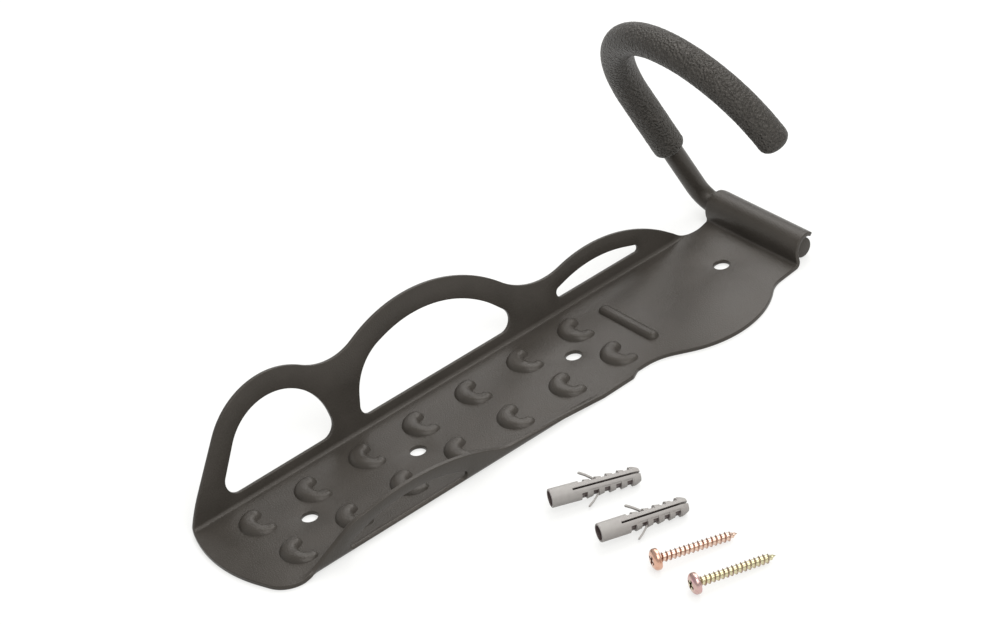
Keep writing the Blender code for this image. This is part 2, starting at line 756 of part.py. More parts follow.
def build_plug(name, spot, look):
    """A hollow plug: open mouth, pockets and a barb on either side, and a slot that runs out at the nose."""
    nose_starts = PLUG_LENGTH - PLUG_NOSE_LENGTH
    outer = [
        (0.0, PLUG_RADIUS - PLUG_CHAMFER),
        (PLUG_CHAMFER, PLUG_RADIUS),
        (nose_starts, PLUG_RADIUS),
        (PLUG_LENGTH, PLUG_NOSE_RADIUS),
    ]
    inner = [(PLUG_BORE_DEPTH, PLUG_BORE_END), (0.0, PLUG_BORE)]
    points, faces = turned(inner + outer, PLUG_PARTS)
    plug = make_object(name, points, faces, look)
    tools = []
    floor = PLUG_RADIUS - PLUG_POCKET_DEPTH
    size = (PLUG_RADIUS, PLUG_POCKET_LENGTH, 2.0 * PLUG_RADIUS)
    for row in range(PLUG_FINS):
        along = PLUG_FIRST_STEP + PLUG_FIN_PITCH * row - PLUG_POCKET_LENGTH / 2
        for side in (-1.0, 1.0):
            where = (side * (floor + PLUG_RADIUS / 2), along, 0.0)
            tools.append(box(f"{name}_pocket_{row}_{side > 0}", where, size))
            cut(plug, tools[-1])
    for side in (-1.0, 1.0):
        tools.append(barb(f"{name}_barb_{side > 0}", side))
        cut(plug, tools[-1], "UNION")
    slot_length = PLUG_LENGTH - PLUG_SLOT_STARTS + PLUG_RADIUS
    slot_middle = PLUG_SLOT_STARTS + slot_length / 2
    tools.append(box(name + "_slot", (0.0, slot_middle, 0.0), (PLUG_SLOT, slot_length, 3.0 * PLUG_RADIUS)))
    cut(plug, tools[-1])
    pitch = math.radians(PLUG_PITCH)
    height = PLUG_RADIUS * math.cos(pitch) + nose_starts * math.sin(pitch) + LIE_CLEARANCE
    lay([plug, *tools], spot[0], spot[1], height, spot[2], -PLUG_PITCH, PLUG_ROLL)
    return plug


def build_screw(name, spot, look):
    """A pan head wood screw with a cross recess and a ring for each turn of its thread."""
    profile = [(0.0, HEAD_FACE_RADIUS)]
    for degrees in (30.0, 60.0, 90.0):
        turn = math.radians(degrees)
        bulge = HEAD_RADIUS - HEAD_FACE_RADIUS
        profile.append((HEAD_DOME * (1.0 - math.cos(turn)), HEAD_FACE_RADIUS + bulge * math.sin(turn)))
    profile.append((HEAD_HEIGHT - HEAD_CHAMFER, HEAD_RADIUS))
    profile.append((HEAD_HEIGHT, HEAD_RADIUS - HEAD_CHAMFER))
    profile.append((HEAD_HEIGHT, CORE_RADIUS))
    along = HEAD_HEIGHT + THREAD_PITCH / 2
    while along < SCREW_LENGTH - THREAD_PITCH:
        taper = min(1.0, (SCREW_LENGTH - along) / SCREW_TIP)
        profile.append((along - THREAD_FLANK, CORE_RADIUS * taper))
        profile.append((along, THREAD_RADIUS * taper))
        profile.append((along + THREAD_FLANK, CORE_RADIUS * taper))
        along += THREAD_PITCH
    profile.append((SCREW_LENGTH, SCREW_POINT))
    points, faces = turned(profile, SCREW_PARTS)
    screw = make_object(name, points, faces, look)
    depth = RECESS_DEPTH * 2.0
    cutters = [
        box(name + "_recess_a", (0.0, 0.0, 0.0), (RECESS_WIDTH, depth, RECESS_SPAN)),
        box(name + "_recess_b", (0.0, 0.0, 0.0), (RECESS_SPAN, depth, RECESS_WIDTH)),
    ]
    for cutter in cutters:
        cut(screw, cutter)
    fall = math.asin((HEAD_RADIUS - THREAD_RADIUS) / (SCREW_LENGTH - SCREW_TIP - HEAD_HEIGHT))
    height = HEAD_RADIUS * math.cos(fall) + HEAD_HEIGHT * math.sin(fall) + LIE_CLEARANCE
    lay([screw, *cutters], spot[0], spot[1], height, spot[2], -math.degrees(fall), SCREW_ROLL)
    return screw


def main():
    clear_scene()
    coat = material("black_coat", (0.032, 0.032, 0.035), 0.42, 0.0)
    foam = material("foam", (0.028, 0.028, 0.030), 0.85, 0.0)
    weld = material("coated_weld", (0.030, 0.030, 0.033), 0.45, 0.0)
    nylon = material("grey_nylon", (0.42, 0.43, 0.44), 0.45, 0.0)
    zinc = material("yellow_zinc", (0.72, 0.55, 0.27), 0.28, 1.0)
    build_plate(coat)
    build_rod(coat)
    build_foam(foam)
    build_weld("weld_left", TONGUE_LEFT + WELD_INSET, weld)
    build_weld("weld_right", TONGUE_TIP - WELD_INSET - WELD_LENGTH, weld)
    for number, spot in enumerate(PLUG_SPOTS, 1):
        build_plug(f"wall_plug_{number}", spot, nylon)
    for number, spot in enumerate(SCREW_SPOTS, 1):
        build_screw(f"wood_screw_{number}", spot, zinc)


main()
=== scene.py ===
"""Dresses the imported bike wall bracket: finer sheet metal, foam, plugs, screws, looks, floor and light.

Lengths are in millimetres until raw_object, which makes metres. The frame is the one of the CAD model.
"""

import math
from math import cos, pi, radians, sin

import bmesh
import bpy
from mathutils import Matrix, Vector
from mathutils.geometry import delaunay_2d_cdt
from mathutils.noise import fractal


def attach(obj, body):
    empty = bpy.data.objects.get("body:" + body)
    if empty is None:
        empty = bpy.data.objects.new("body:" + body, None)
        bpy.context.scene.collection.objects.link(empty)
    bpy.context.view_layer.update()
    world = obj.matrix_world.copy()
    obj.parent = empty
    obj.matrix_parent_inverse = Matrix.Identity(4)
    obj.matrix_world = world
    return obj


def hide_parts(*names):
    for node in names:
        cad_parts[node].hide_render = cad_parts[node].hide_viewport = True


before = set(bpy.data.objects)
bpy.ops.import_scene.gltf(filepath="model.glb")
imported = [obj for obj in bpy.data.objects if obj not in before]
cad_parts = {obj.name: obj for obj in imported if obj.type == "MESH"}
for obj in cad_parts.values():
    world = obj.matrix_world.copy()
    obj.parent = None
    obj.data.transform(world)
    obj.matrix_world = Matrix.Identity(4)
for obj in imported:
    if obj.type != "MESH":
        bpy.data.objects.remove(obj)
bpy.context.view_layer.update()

MM = 0.001
FIT = 0.3

# Sheet and folds, as in the CAD model
SHEET = 2.0
FOLD_X = 30.0
FOLD_DEG = 80.0
FOLD_RADIUS = 3.0
FOLD_WIDTH = FOLD_RADIUS * radians(FOLD_DEG)
RIGHT_FOLD_FADES = ((-148.6, -139.6), (0.4, 22.0))
LEFT_FOLD_FADES = ((-190.0, -180.0), (118.0, 132.0))
EDGE_ROUND = 0.35
HOLE_ROUND = 0.5
EDGE_STEPS_DEG = (0.0, 30.0, 60.0, 90.0)
SMOOTH_DEG = 38.0

# Outline of the blank, anticlockwise: x, y, radius, and 1 for a bulge or -1 for a hollow
LOWER_END = (-3.0, -92.4, 72.2, 1)
RIGHT_EDGE = (
    (20.6, -147.0, 13.0, 1),
    (47.9, -146.6, 14.0, -1),
    (23.8, -111.6, 25.0, 1),
    (-49.0, -90.1, 100.2, 1),
    (57.9, -30.6, 22.0, -1),
    (32.0, 35.9, 1.6, 1),
    (33.9, 42.0, 3.0, -1),
    (55.9, 46.4, 25.0, -1),
    (-0.8, 89.9, 46.0, 1),
    (44.9, 130.3, 15.0, -1),
    (21.8, 134.8, 7.4, 1),
)
ARCH_TOP = (16.5, 73.0, 70.4, 1)
ARCH_MIDDLE = (-10.4, -25.4, 70.2, 1)
ARCH_BOTTOM = (-44.1, -105.0, 37.6, 1)
VALLEY_TOP_RADIUS = 33.5
VALLEY_BOTTOM_RADIUS = 27.2
NECK_LEFT = (-45.8, 131.2, 14.8, -1)
WINDOWS = (
    ((-44.5, -105.1, 26.9, 1), (-43.5, -130.9, 6.0, 1), (-44.6, -85.0, 6.9, 1)),
    ((-41.4, -36.3, 26.3, 1), (-42.1, -58.8, 4.4, 1), (-43.7, 16.6, 6.1, 1), (-12.5, -24.4, 57.4, 1)),
    ((-40.8, 52.3, 2.5, 1), (-40.0, 96.9, 1.8, 1), (16.1, 72.4, 62.7, 1)),
    ((35.7, -120.2, 2.5, 1), (-18.3, -90.6, 64.0, 1), (35.7, -60.9, 2.5, 1)),
)
SCREW_HOLE_Y = (-119.3, -59.6, 29.9, 119.3)
SCREW_HOLE_RADIUS = 3.65

# Pressed crescents and bar
DIMPLE_ROWS = 7
DIMPLE_FIRST_Y = -135.5
DIMPLE_PITCH = 30.0
DIMPLE_COLUMNS = (-13.6, 16.1)
DIMPLE_HEIGHT = 2.3
DIMPLE_ARC = (6.3, 5.2)
DIMPLE_OVERRUN = 3.0
DIMPLE_HALF_WIDTH = (3.9, 4.4, 3.2)
DIMPLE_END_FALL = 0.4
DIMPLE_FALL_STARTS = 0.6
BAR_CENTRE = (1.0, 61.8)
BAR_LENGTH = 38.5
BAR_HALF_WIDTH = 3.2
BAR_HEIGHT = 2.2
RIDGE_FLATNESS = 3.4
RIDGE_SOFTNESS = 0.95

# Curl around the rod
CREASE_Y = 139.0
CREASE_RADIUS = 2.2
ROD_RADIUS = 5.0
CURL_GAP = 1.1
CURL_RADIUS = ROD_RADIUS + CURL_GAP + SHEET / 2
CURL_TURN = 135.0
ROD_Z = ROD_RADIUS + FIT
ROD_Y = CREASE_Y + CREASE_RADIUS + CURL_RADIUS
WALL_RISE = ROD_Z - SHEET / 2 - CREASE_RADIUS
CURL_STARTS = CREASE_RADIUS * pi / 2 + WALL_RISE
CURL_LENGTH = CURL_STARTS + CURL_RADIUS * radians(CURL_TURN)
TONGUE_RIGHT = 27.6
TONGUE_RIGHT_ROUND = 16.0
TONGUE_ROUND_STARTS = 3.3
TONGUE_TIP = 25.3
TONGUE_TIP_ROUND = 0.5
TONGUE_LEFT = -33.8
TONGUE_LEFT_ROUND = 3.5
TONGUE_FOOT_ROUND = 3.0

# Fineness of the sheet's mesh
TINY = 1e-6
NUDGE = 0.01
LEAST_FOLD = 1e-4
MERGE_DISTANCE = 1e-4
OUTLINE_STEP = 2.0
ARC_STEP_DEG = 7.0
LEAST_EDGE = 0.2
LEAST_SPLIT_EDGE = 0.12
HOLE_SIDES = 40
FOLD_PARTS = 8
FOLD_ROW_STEP = 5.0
FOLD_ROW_OVERRUN = 5.0
CURL_PARTS = (8, 2, 18)
CURL_ROW = tuple(-45.0 + 4.5 * n for n in range(21))
ROW_CLEARANCE = 1.1
RIDGE_SHARES = (-1.0, -0.88, -0.72, -0.5, -0.25, 0.0, 0.25, 0.5, 0.72, 0.88, 1.0)
RIDGE_STATIONS = 26
RIDGE_END_PARTS = 8
BAR_STATIONS = 12

# Hook, in its own plane
ROD_END_X = 23.9
ELBOW_X = 32.8
ELBOW_RADIUS = 10.8
SHANK_LEAN = 6.3
SHANK_LENGTH = 61.4
ARCH_RADIUS = 52.8
ARCH_TURN = 170.2
HOOK_TILT = -20.4
ROD_EDGE = 0.5
FOAM_RADIUS = 7.65
FOAM_TIP_RADIUS = 7.4
FOAM_START = 37.3
FOAM_TIP = 3.5
FOAM_TIP_WALL = 4.5
FOAM_LIP = 2.4
FOAM_LIP_EDGE = 0.2
FOAM_LIP_STEPS_DEG = (0.0, 20.0, 40.0, 60.0, 75.0)
FOAM_TIP_STEP_DEG = 10.0
FOAM_TIP_SHARES = (0.85, 0.65, 0.45, 0.25, 0.1)
FOAM_SIDES = 112
FOAM_RINGS = 400
ROD_SIDES = 48
ROD_FOOT_RINGS = 8
ROD_RINGS = 90

# Foam's skin: size and depth of its wrinkles and hollows, the limits of both together, and its sinking
SKIN_WRINKLES = (1.1, 0.10)
SKIN_HOLLOWS = (9.0, 0.05)
SKIN_LIMITS = (-0.2, 0.15)
SKIN_SINK = 0.03

# Wall plugs: x, y and heading in degrees
PLUG_SPOTS = ((78.2, -48.7, 21.0), (112.7, -51.0, 16.6))
PLUG_ROLL = 36.0
PLUG_PITCH = 4.0
PLUG_RADIUS = 4.15
PLUG_LENGTH = 40.0
PLUG_SHOULDER = 36.6
PLUG_NOSE_RADIUS = 2.9
PLUG_NOSE_CURVE = 1.6
PLUG_NOSE_END = 0.7
PLUG_RIM = 0.25
PLUG_RIM_MIDDLE = 0.08
PLUG_BORE = 3.3
PLUG_BORE_END = 1.2
PLUG_BORE_DEPTH = 34.0
PLUG_BORE_SHARES = (1.0, 0.7, 0.4, 0.2, 0.0)
PLUG_SLOT = 0.9
PLUG_SLOT_STARTS = 9.6
FINS = 5
PLUG_FIRST_STEP = 15.7
FIN_PITCH = 5.05
POCKET_LENGTH = 2.5
POCKET_DEPTH = 1.6
POCKET_DEG = 50.0
POCKET_MARGIN = 0.2
POCKET_FRONT = 0.15
POCKET_BACK = 0.35
FIN_FALL = 0.45
FIN_FALL_RUN = 2.5
FIN_DEG = 62.0
FIN_EDGE_DEG = 4.0
PLUG_SIDES = 96
PLUG_RINGS = 320
PLUG_SMOOTH_DEG = 40.0
BARB_FOOT = (21.2, 2.6)
BARB_END = (15.0, 7.9)
BARB_THICK = 0.85
BARB_WIDE = 1.5
BARB_BOW = 0.35
BARB_LEVELS = ((0.0, 1.0), (0.3, 1.0), (0.6, 1.0), (0.93, 1.0), (1.0, 0.7))
BARB_SQUARENESS = 0.7
BARB_SIDES = 16

# Screws: x, y and heading in degrees
SCREW_SPOTS = ((142.1, -47.8, 16.7), (166.6, -48.1, 14.7))
SCREW_ROLL = 20.0
SCREW_LENGTH = 38.8
HEAD_RADIUS = 4.65
HEAD_HEIGHT = 3.1
HEAD_DOME = 1.75
HEAD_FACE_RADIUS = 2.0
HEAD_FACE_RING = 0.5
HEAD_EDGE = ((0.35, 0.0), (0.1, 0.1), (0.0, 0.35))
HEAD_RINGS = 8
NECK_ROOM = 0.25
THREAD_RADIUS = 2.25
CORE_RADIUS = 1.6
THREAD_PITCH = 2.04
THREAD_WIDTH = 0.42
THREAD_RUN_IN = 1.2
THREAD_CURVE = 0.8
SCREW_TIP = 4.2
SCREW_TIP_END = 0.03
SCREW_TIP_CURVE = 0.8
SCREW_SIDES = 48
SCREW_RINGS = 420
SCREW_SMOOTH_DEG = 35.0
RECESS_WIDTH = 1.15
RECESS_SPAN = 4.8
RECESS_DEPTH = 1.9
LIE_CLEARANCE = 0.03

# Dark and light tint of each surface
COAT_TINTS = ((0.046, 0.0405, 0.034), (0.057, 0.050, 0.0425))
FOAM_TINTS = ((0.030, 0.027, 0.023), (0.060, 0.054, 0.047))
WELD_TINTS = ((0.034, 0.030, 0.026), (0.048, 0.042, 0.036))
NYLON_TINTS = ((0.38, 0.355, 0.335), (0.43, 0.41, 0.385))

# Tints of a screw's thread root, its crest and its head, and the places of the last two in thread radii
ZINC_COPPER = ((0.78, 0.58, 0.47), (0.30, 0.16, 0.13), (0.68, 0.39, 0.28))
ZINC_OLIVE = ((0.66, 0.61, 0.40), (0.28, 0.17, 0.17), (0.60, 0.37, 0.38))
ZINC_CREST_PLACE = 0.92
ZINC_HEAD_PLACE = 1.05

# Painted shade in a plug's bore and on its pockets' floors, and the radii and distances from the mouth
# over which it fades
BORE_PAINTED_SHADE = (0.14, 0.105, 0.10)
BORE_FADE_RADII = (PLUG_BORE + 0.05, PLUG_BORE + 0.2)
BORE_FADE_ENDS = (PLUG_SHOULDER - 0.5, PLUG_SHOULDER)

# Relief: noise scale in waves per metre, and depth in metres
COAT_GRAIN = (1500.0, 0.00014)
FOAM_GRAIN = (1100.0, 0.0006)
FOAM_CELLS = (800.0, 0.0009)
WELD_RIPPLE = (420.0, 0.0005)
NYLON_GRAIN = (2200.0, 0.00008)
ZINC_GRAIN = (1800.0, 0.00005)

# Clouds: noise scale, the part of its range that is used, and the roughness that it spreads
COAT_CLOUD = 60.0
NYLON_CLOUD = 260.0
ZINC_CLOUD = 260.0
ZINC_CLOUD_SHARE = 0.45
CLOUD_RANGE = (0.3, 0.7)
FOAM_RANGE = (0.38, 0.66)
ZINC_RANGE = (0.35, 0.65)
COAT_ROUGHNESS = (0.3, 0.38)
NYLON_ROUGHNESS = (0.42, 0.58)
ZINC_ROUGHNESS = (0.22, 0.38)

# Sockets of a mix node when it mixes colours
MIX_COLOURS = (6, 7)
MIX_RESULT = 2

# Photograph's camera: place in mm, and its right and forward directions
CAMERA_PLACE = (1146.85, -757.25, 949.71)
CAMERA_RIGHT = (0.6266, 0.76296, -0.15898)
CAMERA_FORWARD = (-0.6976, 0.45813, -0.55089)
CAMERA_LENS = 136.29
CAMERA_SENSOR = 36.0
CAMERA_CLIP = (0.05, 50.0)

# Floor: what it bounces, and what the camera sees of it, which is lit paper mixed with a plain glow
FLOOR_REACH = 6.0
FLOOR_DROP = 0.0004
FLOOR_BOUNCE = (0.4, 0.4, 0.4)
FLOOR_PAPER = (0.9, 0.9, 0.89)
FLOOR_GLOW = 0.6
GLOW_COLOUR = (1.0, 1.0, 0.985)
GLOW_STRENGTH = 1.09

# Lights: name, place, target and width in metres, and watts
LIGHTS = (
    ("key_soft", (-0.6, 0.8, 0.95), (0.0, 0.05, 0.0), 1.0, 6.5),
    ("top_soft", (0.0, 0.45, 1.05), (0.0, 0.05, 0.0), 0.5, 2.6),
    ("fill_soft", (0.95, -0.1, 1.2), (0.0, 0.08, 0.0), 1.0, 11.0),
)
WORLD_STRENGTH = 0.54


def new_object(name, data):
    obj = bpy.data.objects.new(name, data)
    bpy.context.scene.collection.objects.link(obj)
    return obj


def raw_object(name, points, faces):
    """A piece in metres with its faces turned outwards, from points in millimetres."""
    mesh = bpy.data.meshes.new(name)
    mesh.from_pydata([Vector(p) * MM for p in points], [], faces)
    body = bmesh.new()
    body.from_mesh(mesh)
    bmesh.ops.recalc_face_normals(body, faces=body.faces)
    body.to_mesh(mesh)
    body.free()
    return new_object(name, mesh)


def dress(obj, look, smooth_deg):
    """Gives a piece its look, and smooth shading across edges that bend less than the angle."""
    obj.data.materials.clear()
    obj.data.materials.append(look)
    for polygon in obj.data.polygons:
        polygon.use_smooth = True
    obj.data.set_sharp_from_angle(angle=radians(smooth_deg))


def finish_mesh(name, points, faces, look):
    obj = raw_object(name, points, faces)
    dress(obj, look, SMOOTH_DEG)
    return obj


def smooth_step(value):
    value = min(1.0, max(0.0, value))
    return value * value * (3.0 - 2.0 * value)


def turns(parts):
    """Angles of this many points around a circle."""
    return [2.0 * pi * n / parts for n in range(parts)]


def nestle(first, second, radius):
    """The hollow circle that touches two bulges, on their left seen from the first to the second."""
    reach_a = first[2] + radius + NUDGE
    reach_b = second[2] + radius + NUDGE
    gap = Vector((second[0] - first[0], second[1] - first[1]))
    along = (reach_a**2 - reach_b**2 + gap.length_squared) / (2.0 * gap.length)
    aside = math.sqrt(reach_a**2 - along**2)
    way = gap.normalized()
    x = first[0] + way.x * along - way.y * aside
    y = first[1] + way.y * along + way.x * aside
    return (x, y, radius, -1)


def tangent_way(first, second):
    """Direction of the straight run that leaves the first circle and reaches the second."""
    gap = Vector((second[0] - first[0], second[1] - first[1]))
    drop = (first[2] * first[3] - second[2] * second[3]) / gap.length
    return math.atan2(gap.y, gap.x) + math.asin(max(-1.0, min(1.0, drop)))


def belt(circles, side):
    """A closed loop around the circles: x, y and the direction away from the metal, which side picks."""
    loop = []
    for index, circle in enumerate(circles):
        came = tangent_way(circles[index - 1], circle)
        goes = tangent_way(circle, circles[(index + 1) % len(circles)])
        turn = (goes - came) * circle[3]
        turn = (turn + pi / 4) % (2.0 * pi) - pi / 4
        radius = circle[2]
        parts = max(4, math.ceil(abs(turn) * radius / OUTLINE_STEP))
        parts = max(parts, math.ceil(abs(turn) / radians(ARC_STEP_DEG)))
        for part in range(parts + 1):
            way = came + turn * circle[3] * part / parts
            angle = way - circle[3] * pi / 2
            x = circle[0] + radius * cos(angle)
            y = circle[1] + radius * sin(angle)
            loop.append((x, y, side * sin(way), -side * cos(way)))
    return thin_out(loop, LEAST_EDGE)


def thin_out(loop, least_mm):
    """The loop without points that are closer than this to the one before."""
    kept = []
    for point in loop:
        if not kept or math.dist(point[:2], kept[-1][:2]) > least_mm:
            kept.append(point)
    if math.dist(kept[0][:2], kept[-1][:2]) <= least_mm:
        kept.pop()
    return kept


def outline_circles():
    end_y = CREASE_Y + CURL_LENGTH
    round_y = CREASE_Y + CURL_STARTS + TONGUE_ROUND_STARTS
    foot_y = CREASE_Y + CREASE_RADIUS * pi / 2 + TONGUE_FOOT_ROUND / 2
    tongue = (
        (TONGUE_RIGHT - TONGUE_RIGHT_ROUND, round_y, TONGUE_RIGHT_ROUND, 1),
        (TONGUE_TIP - TONGUE_TIP_ROUND, end_y - TONGUE_TIP_ROUND, TONGUE_TIP_ROUND, 1),
        (TONGUE_LEFT + TONGUE_LEFT_ROUND, end_y - TONGUE_LEFT_ROUND, TONGUE_LEFT_ROUND, 1),
        (TONGUE_LEFT + TONGUE_FOOT_ROUND, foot_y, TONGUE_FOOT_ROUND, 1),
    )
    valley_top = nestle(ARCH_MIDDLE, ARCH_TOP, VALLEY_TOP_RADIUS)
    valley_bottom = nestle(ARCH_BOTTOM, ARCH_MIDDLE, VALLEY_BOTTOM_RADIUS)
    left_edge = (NECK_LEFT, ARCH_TOP, valley_top, ARCH_MIDDLE, valley_bottom, ARCH_BOTTOM)
    return (LOWER_END, *RIGHT_EDGE, *tongue, *left_edge)


def circle_loop(x, y, radius, parts):
    loop = []
    for turn in turns(parts):
        out = (cos(turn), sin(turn))
        loop.append((x + radius * out[0], y + radius * out[1], -out[0], -out[1]))
    return loop


def split_loop(loop, rows):
    """The loop with a point added wherever it crosses one of the straight rows."""
    made = []
    for a, b in zip(loop, loop[1:] + loop[:1]):
        shares = []
        for row in rows:
            axis = 0 if abs(row[0][0] - row[-1][0]) < TINY else 1
            low, high = sorted((row[0][1 - axis], row[-1][1 - axis]))
            level = row[0][axis]
            if abs(a[axis] - b[axis]) < TINY or (a[axis] - level) * (b[axis] - level) >= 0.0:
                continue
            share = (level - a[axis]) / (b[axis] - a[axis])
            other = a[1 - axis] + (b[1 - axis] - a[1 - axis]) * share
            if low <= other <= high:
                shares.append(share)
        made.append(a)
        made.extend(tuple(p + (q - p) * s for p, q in zip(a, b)) for s in sorted(shares))
    return thin_out(made, LEAST_SPLIT_EDGE)


def dome(share):
    """Height share of a pressed ridge at this share of its half width."""
    share = min(1.0, abs(share))
    return (1.0 - share**RIDGE_FLATNESS) ** RIDGE_SOFTNESS


def ridge_point(place, share):
    """Centre line point, outward direction and half width of a crescent, share running from 0 to 1."""
    over = radians(DIMPLE_OVERRUN)
    angle = pi - over + share * (pi + 2.0 * over)
    point = Vector((DIMPLE_ARC[0] * cos(angle), DIMPLE_ARC[1] * sin(angle)))
    out = Vector((cos(angle) / DIMPLE_ARC[0], sin(angle) / DIMPLE_ARC[1])).normalized()
    middle = 1.0 - abs(2.0 * share - 1.0)
    end_half = DIMPLE_HALF_WIDTH[0] if share < 0.5 else DIMPLE_HALF_WIDTH[2]
    half = end_half + (DIMPLE_HALF_WIDTH[1] - end_half) * smooth_step(middle)
    return Vector(place) + point, out, half


def ridge_height(share):
    """Height of a crescent's crest, which falls towards its right end."""
    fall = smooth_step((share - DIMPLE_FALL_STARTS) / (1.0 - DIMPLE_FALL_STARTS))
    return DIMPLE_HEIGHT * (1.0 - DIMPLE_END_FALL * fall)


def dimple_points(place):
    """Points of a crescent with their heights: along it, then around both of its ends."""
    made = []
    for station in range(RIDGE_STATIONS + 1):
        point, out, half = ridge_point(place, station / RIDGE_STATIONS)
        crest = ridge_height(station / RIDGE_STATIONS)
        for share in RIDGE_SHARES:
            made.append((*(point + out * (half * share)), crest * dome(share)))
    for share_along, side in ((0.0, -1.0), (1.0, 1.0)):
        point, out, half = ridge_point(place, share_along)
        ahead = Vector((-out.y, out.x)) * side
        for share in RIDGE_SHARES:
            if share <= 0.0:
                continue
            for end in range(1, RIDGE_END_PARTS):
                turn = pi * end / RIDGE_END_PARTS
                way = out * cos(turn) + ahead * sin(turn)
                made.append((*(point + way * (half * share)), ridge_height(share_along) * dome(share)))
    return made


def bar_points():
    """Points of the bar with their heights: around both of its ends, then along it."""
    made = []
    reach = BAR_LENGTH / 2 - BAR_HALF_WIDTH
    for side in (-1.0, 1.0):
        for share in RIDGE_SHARES:
            if share < 0.0:
                continue
            for end in range(RIDGE_END_PARTS + 1):
                turn = -pi / 2 + pi * end / RIDGE_END_PARTS
                x = BAR_CENTRE[0] + side * (reach + BAR_HALF_WIDTH * share * cos(turn))
                y = BAR_CENTRE[1] + BAR_HALF_WIDTH * share * sin(turn)
                made.append((x, y, BAR_HEIGHT * dome(share)))
                if share == 0.0:
                    break
    for part in range(1, BAR_STATIONS):
        x = BAR_CENTRE[0] + reach * (part / (BAR_STATIONS / 2) - 1.0)
        for share in RIDGE_SHARES:
            made.append((x, BAR_CENTRE[1] + BAR_HALF_WIDTH * share, BAR_HEIGHT * dome(share)))
    return made


def dimple_places():
    rows = [DIMPLE_FIRST_Y + DIMPLE_PITCH * row for row in range(DIMPLE_ROWS)]
    return [(x, y) for y in rows for x in DIMPLE_COLUMNS]


def fold_angle(x, y):
    """How far a guide is folded up at this place, in radians: it fades in and out along the plate."""
    (a, b), (c, d) = RIGHT_FOLD_FADES if x > 0 else LEFT_FOLD_FADES
    share = smooth_step((y - a) / (b - a)) * (1.0 - smooth_step((y - c) / (d - c)))
    return radians(FOLD_DEG) * share


def folded(x, y):
    """Where a point of the flat blank goes across the plate: x and height of the middle of the sheet."""
    beyond = abs(x) - FOLD_X
    angle = fold_angle(x, y)
    if beyond <= 0.0 or angle < LEAST_FOLD:
        return x, 0.0
    bend = angle / FOLD_WIDTH
    inside = min(beyond, FOLD_WIDTH)
    out = sin(bend * inside) / bend
    up = (1.0 - cos(bend * inside)) / bend
    rest = beyond - inside
    out += rest * cos(angle)
    up += rest * sin(angle)
    return math.copysign(FOLD_X + out, x), up


def curled(y):
    """Where the blank's length goes at the upper end: y and height of the middle of the sheet."""
    run = y - CREASE_Y
    if run <= 0.0:
        return y, 0.0
    quarter = CREASE_RADIUS * pi / 2
    if run < quarter:
        turn = run / CREASE_RADIUS
        return CREASE_Y + CREASE_RADIUS * sin(turn), CREASE_RADIUS * (1.0 - cos(turn))
    if run < CURL_STARTS:
        return CREASE_Y + CREASE_RADIUS, CREASE_RADIUS + run - quarter
    turn = (run - CURL_STARTS) / CURL_RADIUS
    return ROD_Y - CURL_RADIUS * cos(turn), ROD_Z - SHEET / 2 + CURL_RADIUS * sin(turn)


def middle_of_sheet(x, y):
    across, up = folded(x, y)
    along, lift = curled(y)
    return Vector((across, along, SHEET / 2 + up + lift))


def on_sheet(x, y, offset, height):
    """A point of the blank on the finished sheet, offset from the middle of its thickness."""
    along_x = middle_of_sheet(x + NUDGE, y) - middle_of_sheet(x - NUDGE, y)
    along_y = middle_of_sheet(x, y + NUDGE) - middle_of_sheet(x, y - NUDGE)
    normal = along_x.cross(along_y).normalized()
    return middle_of_sheet(x, y) + normal * offset + Vector((0.0, 0.0, height))


def blank_rows():
    """Straight rows of points that the folds and the curl need."""
    rows = []
    low = LOWER_END[1] - LOWER_END[2] - FOLD_ROW_OVERRUN
    for side, fades in ((-1.0, LEFT_FOLD_FADES), (1.0, RIGHT_FOLD_FADES)):
        high = fades[1][1]
        count = math.ceil((high - low) / FOLD_ROW_STEP)
        for part in range(FOLD_PARTS + 1):
            x = side * (FOLD_X + FOLD_WIDTH * part / FOLD_PARTS)
            rows.append([(x, low + (high - low) * n / count) for n in range(count + 1)])
    breaks = [0.0, CREASE_RADIUS * pi / 2, CURL_STARTS, CURL_LENGTH]
    for start, end, parts in zip(breaks, breaks[1:], CURL_PARTS):
        for part in range(parts):
            y = CREASE_Y + start + (end - start) * part / parts
            rows.append([(x, y) for x in CURL_ROW])
    return rows


def inside_loop(point, loop):
    """Whether a line that leaves the point to its right crosses the loop an odd number of times."""
    x, y = point[:2]
    odd = False
    for a, b in zip(loop, loop[1:] + loop[:1]):
        if (a[1] > y) != (b[1] > y) and x < a[0] + (y - a[1]) * (b[0] - a[0]) / (b[1] - a[1]):
            odd = not odd
    return odd


def loop_distance(point, loop):
    px, py = point[:2]
    least = math.inf
    for a, b in zip(loop, loop[1:] + loop[:1]):
        rx = b[0] - a[0]
        ry = b[1] - a[1]
        share = ((px - a[0]) * rx + (py - a[1]) * ry) / (rx * rx + ry * ry)
        share = max(0.0, min(1.0, share))
        least = min(least, math.hypot(px - a[0] - rx * share, py - a[1] - ry * share))
    return least


